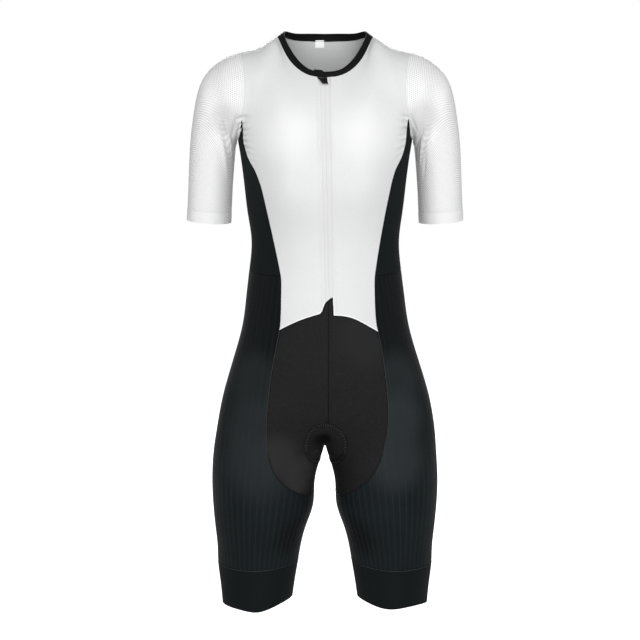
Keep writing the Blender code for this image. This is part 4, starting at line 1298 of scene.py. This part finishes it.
def cloth_mesh(name, outer, inner, sides, flats, fields):
    """A closed wall between two faces, given as points in mm with the polygons and flat
    coordinates of the outer one. Both carry the distances to the seam, the free edge and
    the gusset's ring."""
    count, rim = len(outer), {}
    for side, flat in zip(sides, flats):
        for i, a in enumerate(side):
            j = (i + 1) % len(side)
            rim[(a, side[j])] = (flat[i], flat[j])
    polygons = sides + [[i + count for i in reversed(side)] for side in sides]
    flats = flats + [flat[::-1] for flat in flats]
    for (a, b), (fa, fb) in rim.items():
        if (b, a) not in rim:
            polygons.append([b, a, a + count, b + count])
            flats.append([fb, fa, fa, fb])
    mesh = mesh_of("cloth_" + name, (np.vstack((outer, inner)) * MM).tolist(), polygons)
    layer = mesh.uv_layers.new(name="flat")
    layer.data.foreach_set("uv", [value for flat in flats for pair in flat for value in pair])
    for key, values in zip(("seam", "free", "ring"), fields):
        data = mesh.attributes.new(key, "FLOAT", "POINT")
        data.data.foreach_set("value", np.concatenate((values, values)))
    mesh.shade_smooth()
    mesh.set_sharp_from_angle(angle=math.radians(42))
    return mesh


def shell(name, form, lift, wall, material):
    """A piece as a closed thin shell on its side of the seams."""
    faces = faces_of(form, name)
    uv = form.bm.loops.layers.uv["flat"]
    verts = list(dict.fromkeys(v for f in faces for v in f.verts))
    index = {v: i for i, v in enumerate(verts)}
    p, out = places(v.co for v in verts), places(v.normal for v in verts)
    fields = [np.array([field[v] for v in verts]) for field in (form.seam, form.free, form.ring)]
    height = lift(p, *fields[:2])[:, None]
    sides = [[index[v] for v in f.verts] for f in faces]
    if material == "ribbed_black_cloth":
        flats = [rib_flat(f, uv) for f in faces]
    else:
        flats = [[tuple(lp[uv].uv) for lp in f.loops] for f in faces]
    return cloth_mesh(name, p + out * height, p + out * (height - wall), sides, flats, fields)


def dressed(mesh, name, material, width, length, area):
    """Puts a cloth mesh in its node's place, with its finish; width, length and area (mm, mm, cm2)
    are not used.
    """
    mesh.materials.append(MATERIALS[material])
    item = placed(mesh.name, mesh)
    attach(item, "suit")
    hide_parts(name)
    material if material in SLOTS else "black_cloth"


for name, form, lift, wall, material, *cut_size in PIECES:
    dressed(shell(name, form, lift, wall, material), name, material, *cut_size)


# Sewing that stands proud: thin cords along seams and the ladder stitch.
def chains(pairs):
    """Edges, as pairs of (point, normal), joined into rows."""
    links, spots = {}, {}
    for pair in pairs:
        a, b = (tuple(round(value, 3) for value in spot[0]) for spot in pair)
        spots[a], spots[b] = pair
        links.setdefault(a, []).append(b)
        links.setdefault(b, []).append(a)
    rows = []
    for start in sorted(links, key=lambda spot: (len(links[spot]) != 1, spot)):
        row = [start]
        while links[row[-1]]:
            here, there = row[-1], links[row[-1]].pop()
            links[there].remove(here)
            row.append(there)
        if len(row) > 1:
            rows.append([spots[spot] for spot in row])
    return rows


def spread(row, step):
    """Places at even steps along a row: point, normal and direction."""
    gone = arc([point for point, _ in row], 0)
    count, out = max(2, round(gone[-1] / step)), []
    for i in range(count + 1):
        at = gone[-1] * i / count
        k = max(j for j in range(len(row) - 1) if gone[j] <= at + 1e-9)
        (a, normal), (b, other) = row[k:k + 2]
        share = (at - gone[k]) / max(gone[k + 1] - gone[k], 1e-9)
        out.append((a.lerp(b, share), normal.lerp(other, share).normalized(),
                    (b - a).normalized()))
    return out


class Threads:
    """Thin tubes laid on the cloth, as one piece."""

    def __init__(self):
        self.points, self.faces = [], []

    def tube(self, path, radii, sides=6):
        """A closed tube through (point, normal, direction) places with these radii."""
        first = len(self.points)
        for (p, normal, along), radius in zip(path, radii):
            across = along.cross(normal).normalized()
            for k in range(sides):
                angle = 2 * math.pi * k / sides
                spoke = across * math.cos(angle) + normal * math.sin(angle)
                self.points.append(p + spoke * radius)
        for r in range(len(path) - 1):
            for k in range(sides):
                a, b = first + r * sides + k, first + r * sides + (k + 1) % sides
                self.faces.append((a, b, b + sides, a + sides))
        self.faces.append([first + k for k in reversed(range(sides))])
        self.faces.append([first + (len(path) - 1) * sides + k for k in range(sides)])

    def cord(self, row, radius, lift, aside=0, step=2.5):
        path = [(p + n * lift + n.cross(d) * aside, n, d) for p, n, d in spread(row, step)]
        self.tube(path, [radius] * len(path))

    def bars(self, row, pitch, half, radius, lift):
        """Cross threads of a ladder stitch."""
        for p, n, d in spread(row, pitch):
            side = n.cross(d).normalized()
            path = [(p + side * half * s + n * (lift - 0.5 * radius * s * s), n, side)
                    for s in (-1, -0.5, 0.5, 1)]
            self.tube(path, (radius * 0.5, radius, radius, radius * 0.5), 5)

    def done(self, name, material):
        mesh = mesh_of(name, [p * MM for p in self.points], self.faces)
        mesh.shade_smooth()
        mesh.materials.append(MATERIALS[material])
        item = placed(name, mesh)
        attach(item, "suit")


def seams_between(form, *groups):
    """Rows of seam places between two groups of pieces."""
    pairs = []
    for names, edges in form.seams.items():
        a, b = sorted(names)
        if any(m.startswith(groups[0]) and n.startswith(groups[1]) for m, n in ((a, b), (b, a))):
            pairs += edges
    return chains(pairs)


cords, bars, rails = Threads(), Threads(), Threads()
for row in seams_between(lower, "lower_front", "leg") + seams_between(lower, "gripper", "leg"):
    cords.cord(row, 0.42, 0.1)
for row in seams_between(lower, "crotch_gusset", ("lower_front", "seat", "leg")):
    bars.bars(row, LADDER_PITCH, LADDER_HALF, 0.44, 0.45)
    for aside in (-LADDER_HALF, LADDER_HALF):
        rails.cord(row, 0.26, 0.25, aside)
cords.done("seam_cords", "grey_thread")
bars.done("ladder_bars", "ladder_thread")
rails.done("ladder_rails", "dark_thread")


def flap(name, outline, inside, near, far, across=14, down=9):
    """A small sewn flap: its corners (x, z) clockwise from the top left seen from the front,
    and the heights of its hidden and its shown face off the worn surface."""
    tree = BVHTree.FromBMesh(upper.bm)
    way = Vector((0, 1 if inside else -1, 0))
    a, b, c, d = [Vector(corner) for corner in outline]
    rows = {}
    for i in reversed(range(down + 1)):
        for j in range(across + 1):
            spot = a.lerp(b, j / across).lerp(d.lerp(c, j / across), i / down)
            place, normal, _, _ = tree.ray_cast(Vector((spot.x, 0, spot.y)), way)
            if place is None:
                place = rows[i + 1, j][0] * 2 - rows[i + 2, j][0]
                normal = rows[i + 1, j][1]
            rows[i, j] = place, normal
    index = {key: k for k, key in enumerate(sorted(rows))}
    shown, hidden, flats = [], [], []
    for i, j in index:
        place, normal = rows[i, j]
        rim = 0.4 if i in (0, down) or j in (0, across) else 0
        shown.append(place + normal * (far + (near - far) * rim))
        hidden.append(place + normal * near)
        flats.append((place.x, -place.z))
    sides = [[index[i, j], index[i + 1, j], index[i + 1, j + 1], index[i, j + 1]]
             for i in range(down) for j in range(across)]
    return cloth_mesh(name, places(shown), places(hidden), sides,
                      [[flats[k] for k in side] for side in sides], [[FAR] * len(index)] * 3)


FLAPS = (
    # name, outline, inside, hidden and shown height, material, and the cut as in PIECES
    ("zip_garage", ((-17, -49.9), (-4, -51.2), (3.6, -62), (-11.5, -62.3)), False, 1.25, 2.1,
     "binding_cloth", 20.5, 12.5, 1.8),
    ("size_label", ((-15, -5), (-1.5, -5), (-1.5, -16.5), (-15, -16.5)), True, -1.1, -1.7,
     "label", 13.5, 11.5, 1.55),
)
for name, outline, inside, near, far, material, *cut_size in FLAPS:
    dressed(flap(name, outline, inside, near, far), name, material, *cut_size)
for name in ("zip_slider", "zip_pull"):
    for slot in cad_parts[name].material_slots:
        slot.material = MATERIALS["black_metal"]


# Floor, light and camera, in metres.
def lit(name, energy, size_x, size_y, place, aim):
    light = bpy.data.lights.new(name, "AREA")
    light.shape = "RECTANGLE"
    light.size, light.size_y, light.energy = size_x, size_y, energy
    item = placed(name, light)
    item.location = place
    item.rotation_euler = (Vector(aim) - Vector(place)).to_track_quat("-Z", "Y").to_euler()
    item.visible_camera = False


lit("key", 25, 0.7, 0.7, (0.40, -2.3, 1.05), (0, 0, -0.30))
lit("fill", 31, 1.4, 1.4, (0, -2.8, -0.55), (0, 0, -0.45))
for side in (-1, 1):
    lit("side", 6, 1, 1.6, (2.1 * side, -0.5, 0), (0, 0, -0.35))
lit("back", 34, 1.4, 1.4, (0, 2.6, 0.35), (0, 0, -0.40))

world = bpy.data.worlds.new("studio")
bpy.context.scene.world = world
world.use_nodes = True
tree = world.node_tree
tree.nodes.clear()
seen = node(tree, "LightPath")["Is Camera Ray"]
dim, bright = (node(tree, "Background", grey(1), strength)[0] for strength in (0.36, 1))
node(tree, "OutputWorld", node(tree, "MixShader", seen, dim, bright)[0])

floor_mesh = mesh_of("floor", [(x * FLOOR_HALF, y * FLOOR_HALF, FLOOR_Z) for x, y in
                               ((-1, -1), (1, -1), (1, 1), (-1, 1))], [(0, 1, 2, 3)])
ground = bpy.data.materials.new("floor")
ground.use_nodes = True
paint = ground.node_tree.nodes["Principled BSDF"].inputs
paint["Base Color"].default_value = grey(0.9)
paint["Roughness"].default_value = 0.9
paint["Emission Strength"].default_value = 0.75
floor_mesh.materials.append(ground)
floor = placed("floor", floor_mesh)
floor.visible_diffuse = False
floor.visible_glossy = False

camera_data = bpy.data.cameras.new("camera")
camera_data.lens = 84
camera_data.sensor_width = 36
camera = placed("camera", camera_data)
camera.location = CAMERA
camera.rotation_euler = (math.radians(90 - CAMERA_DOWN), 0, 0)
bpy.context.scene.camera = camera
bpy.context.scene.view_settings.view_transform = "Standard"
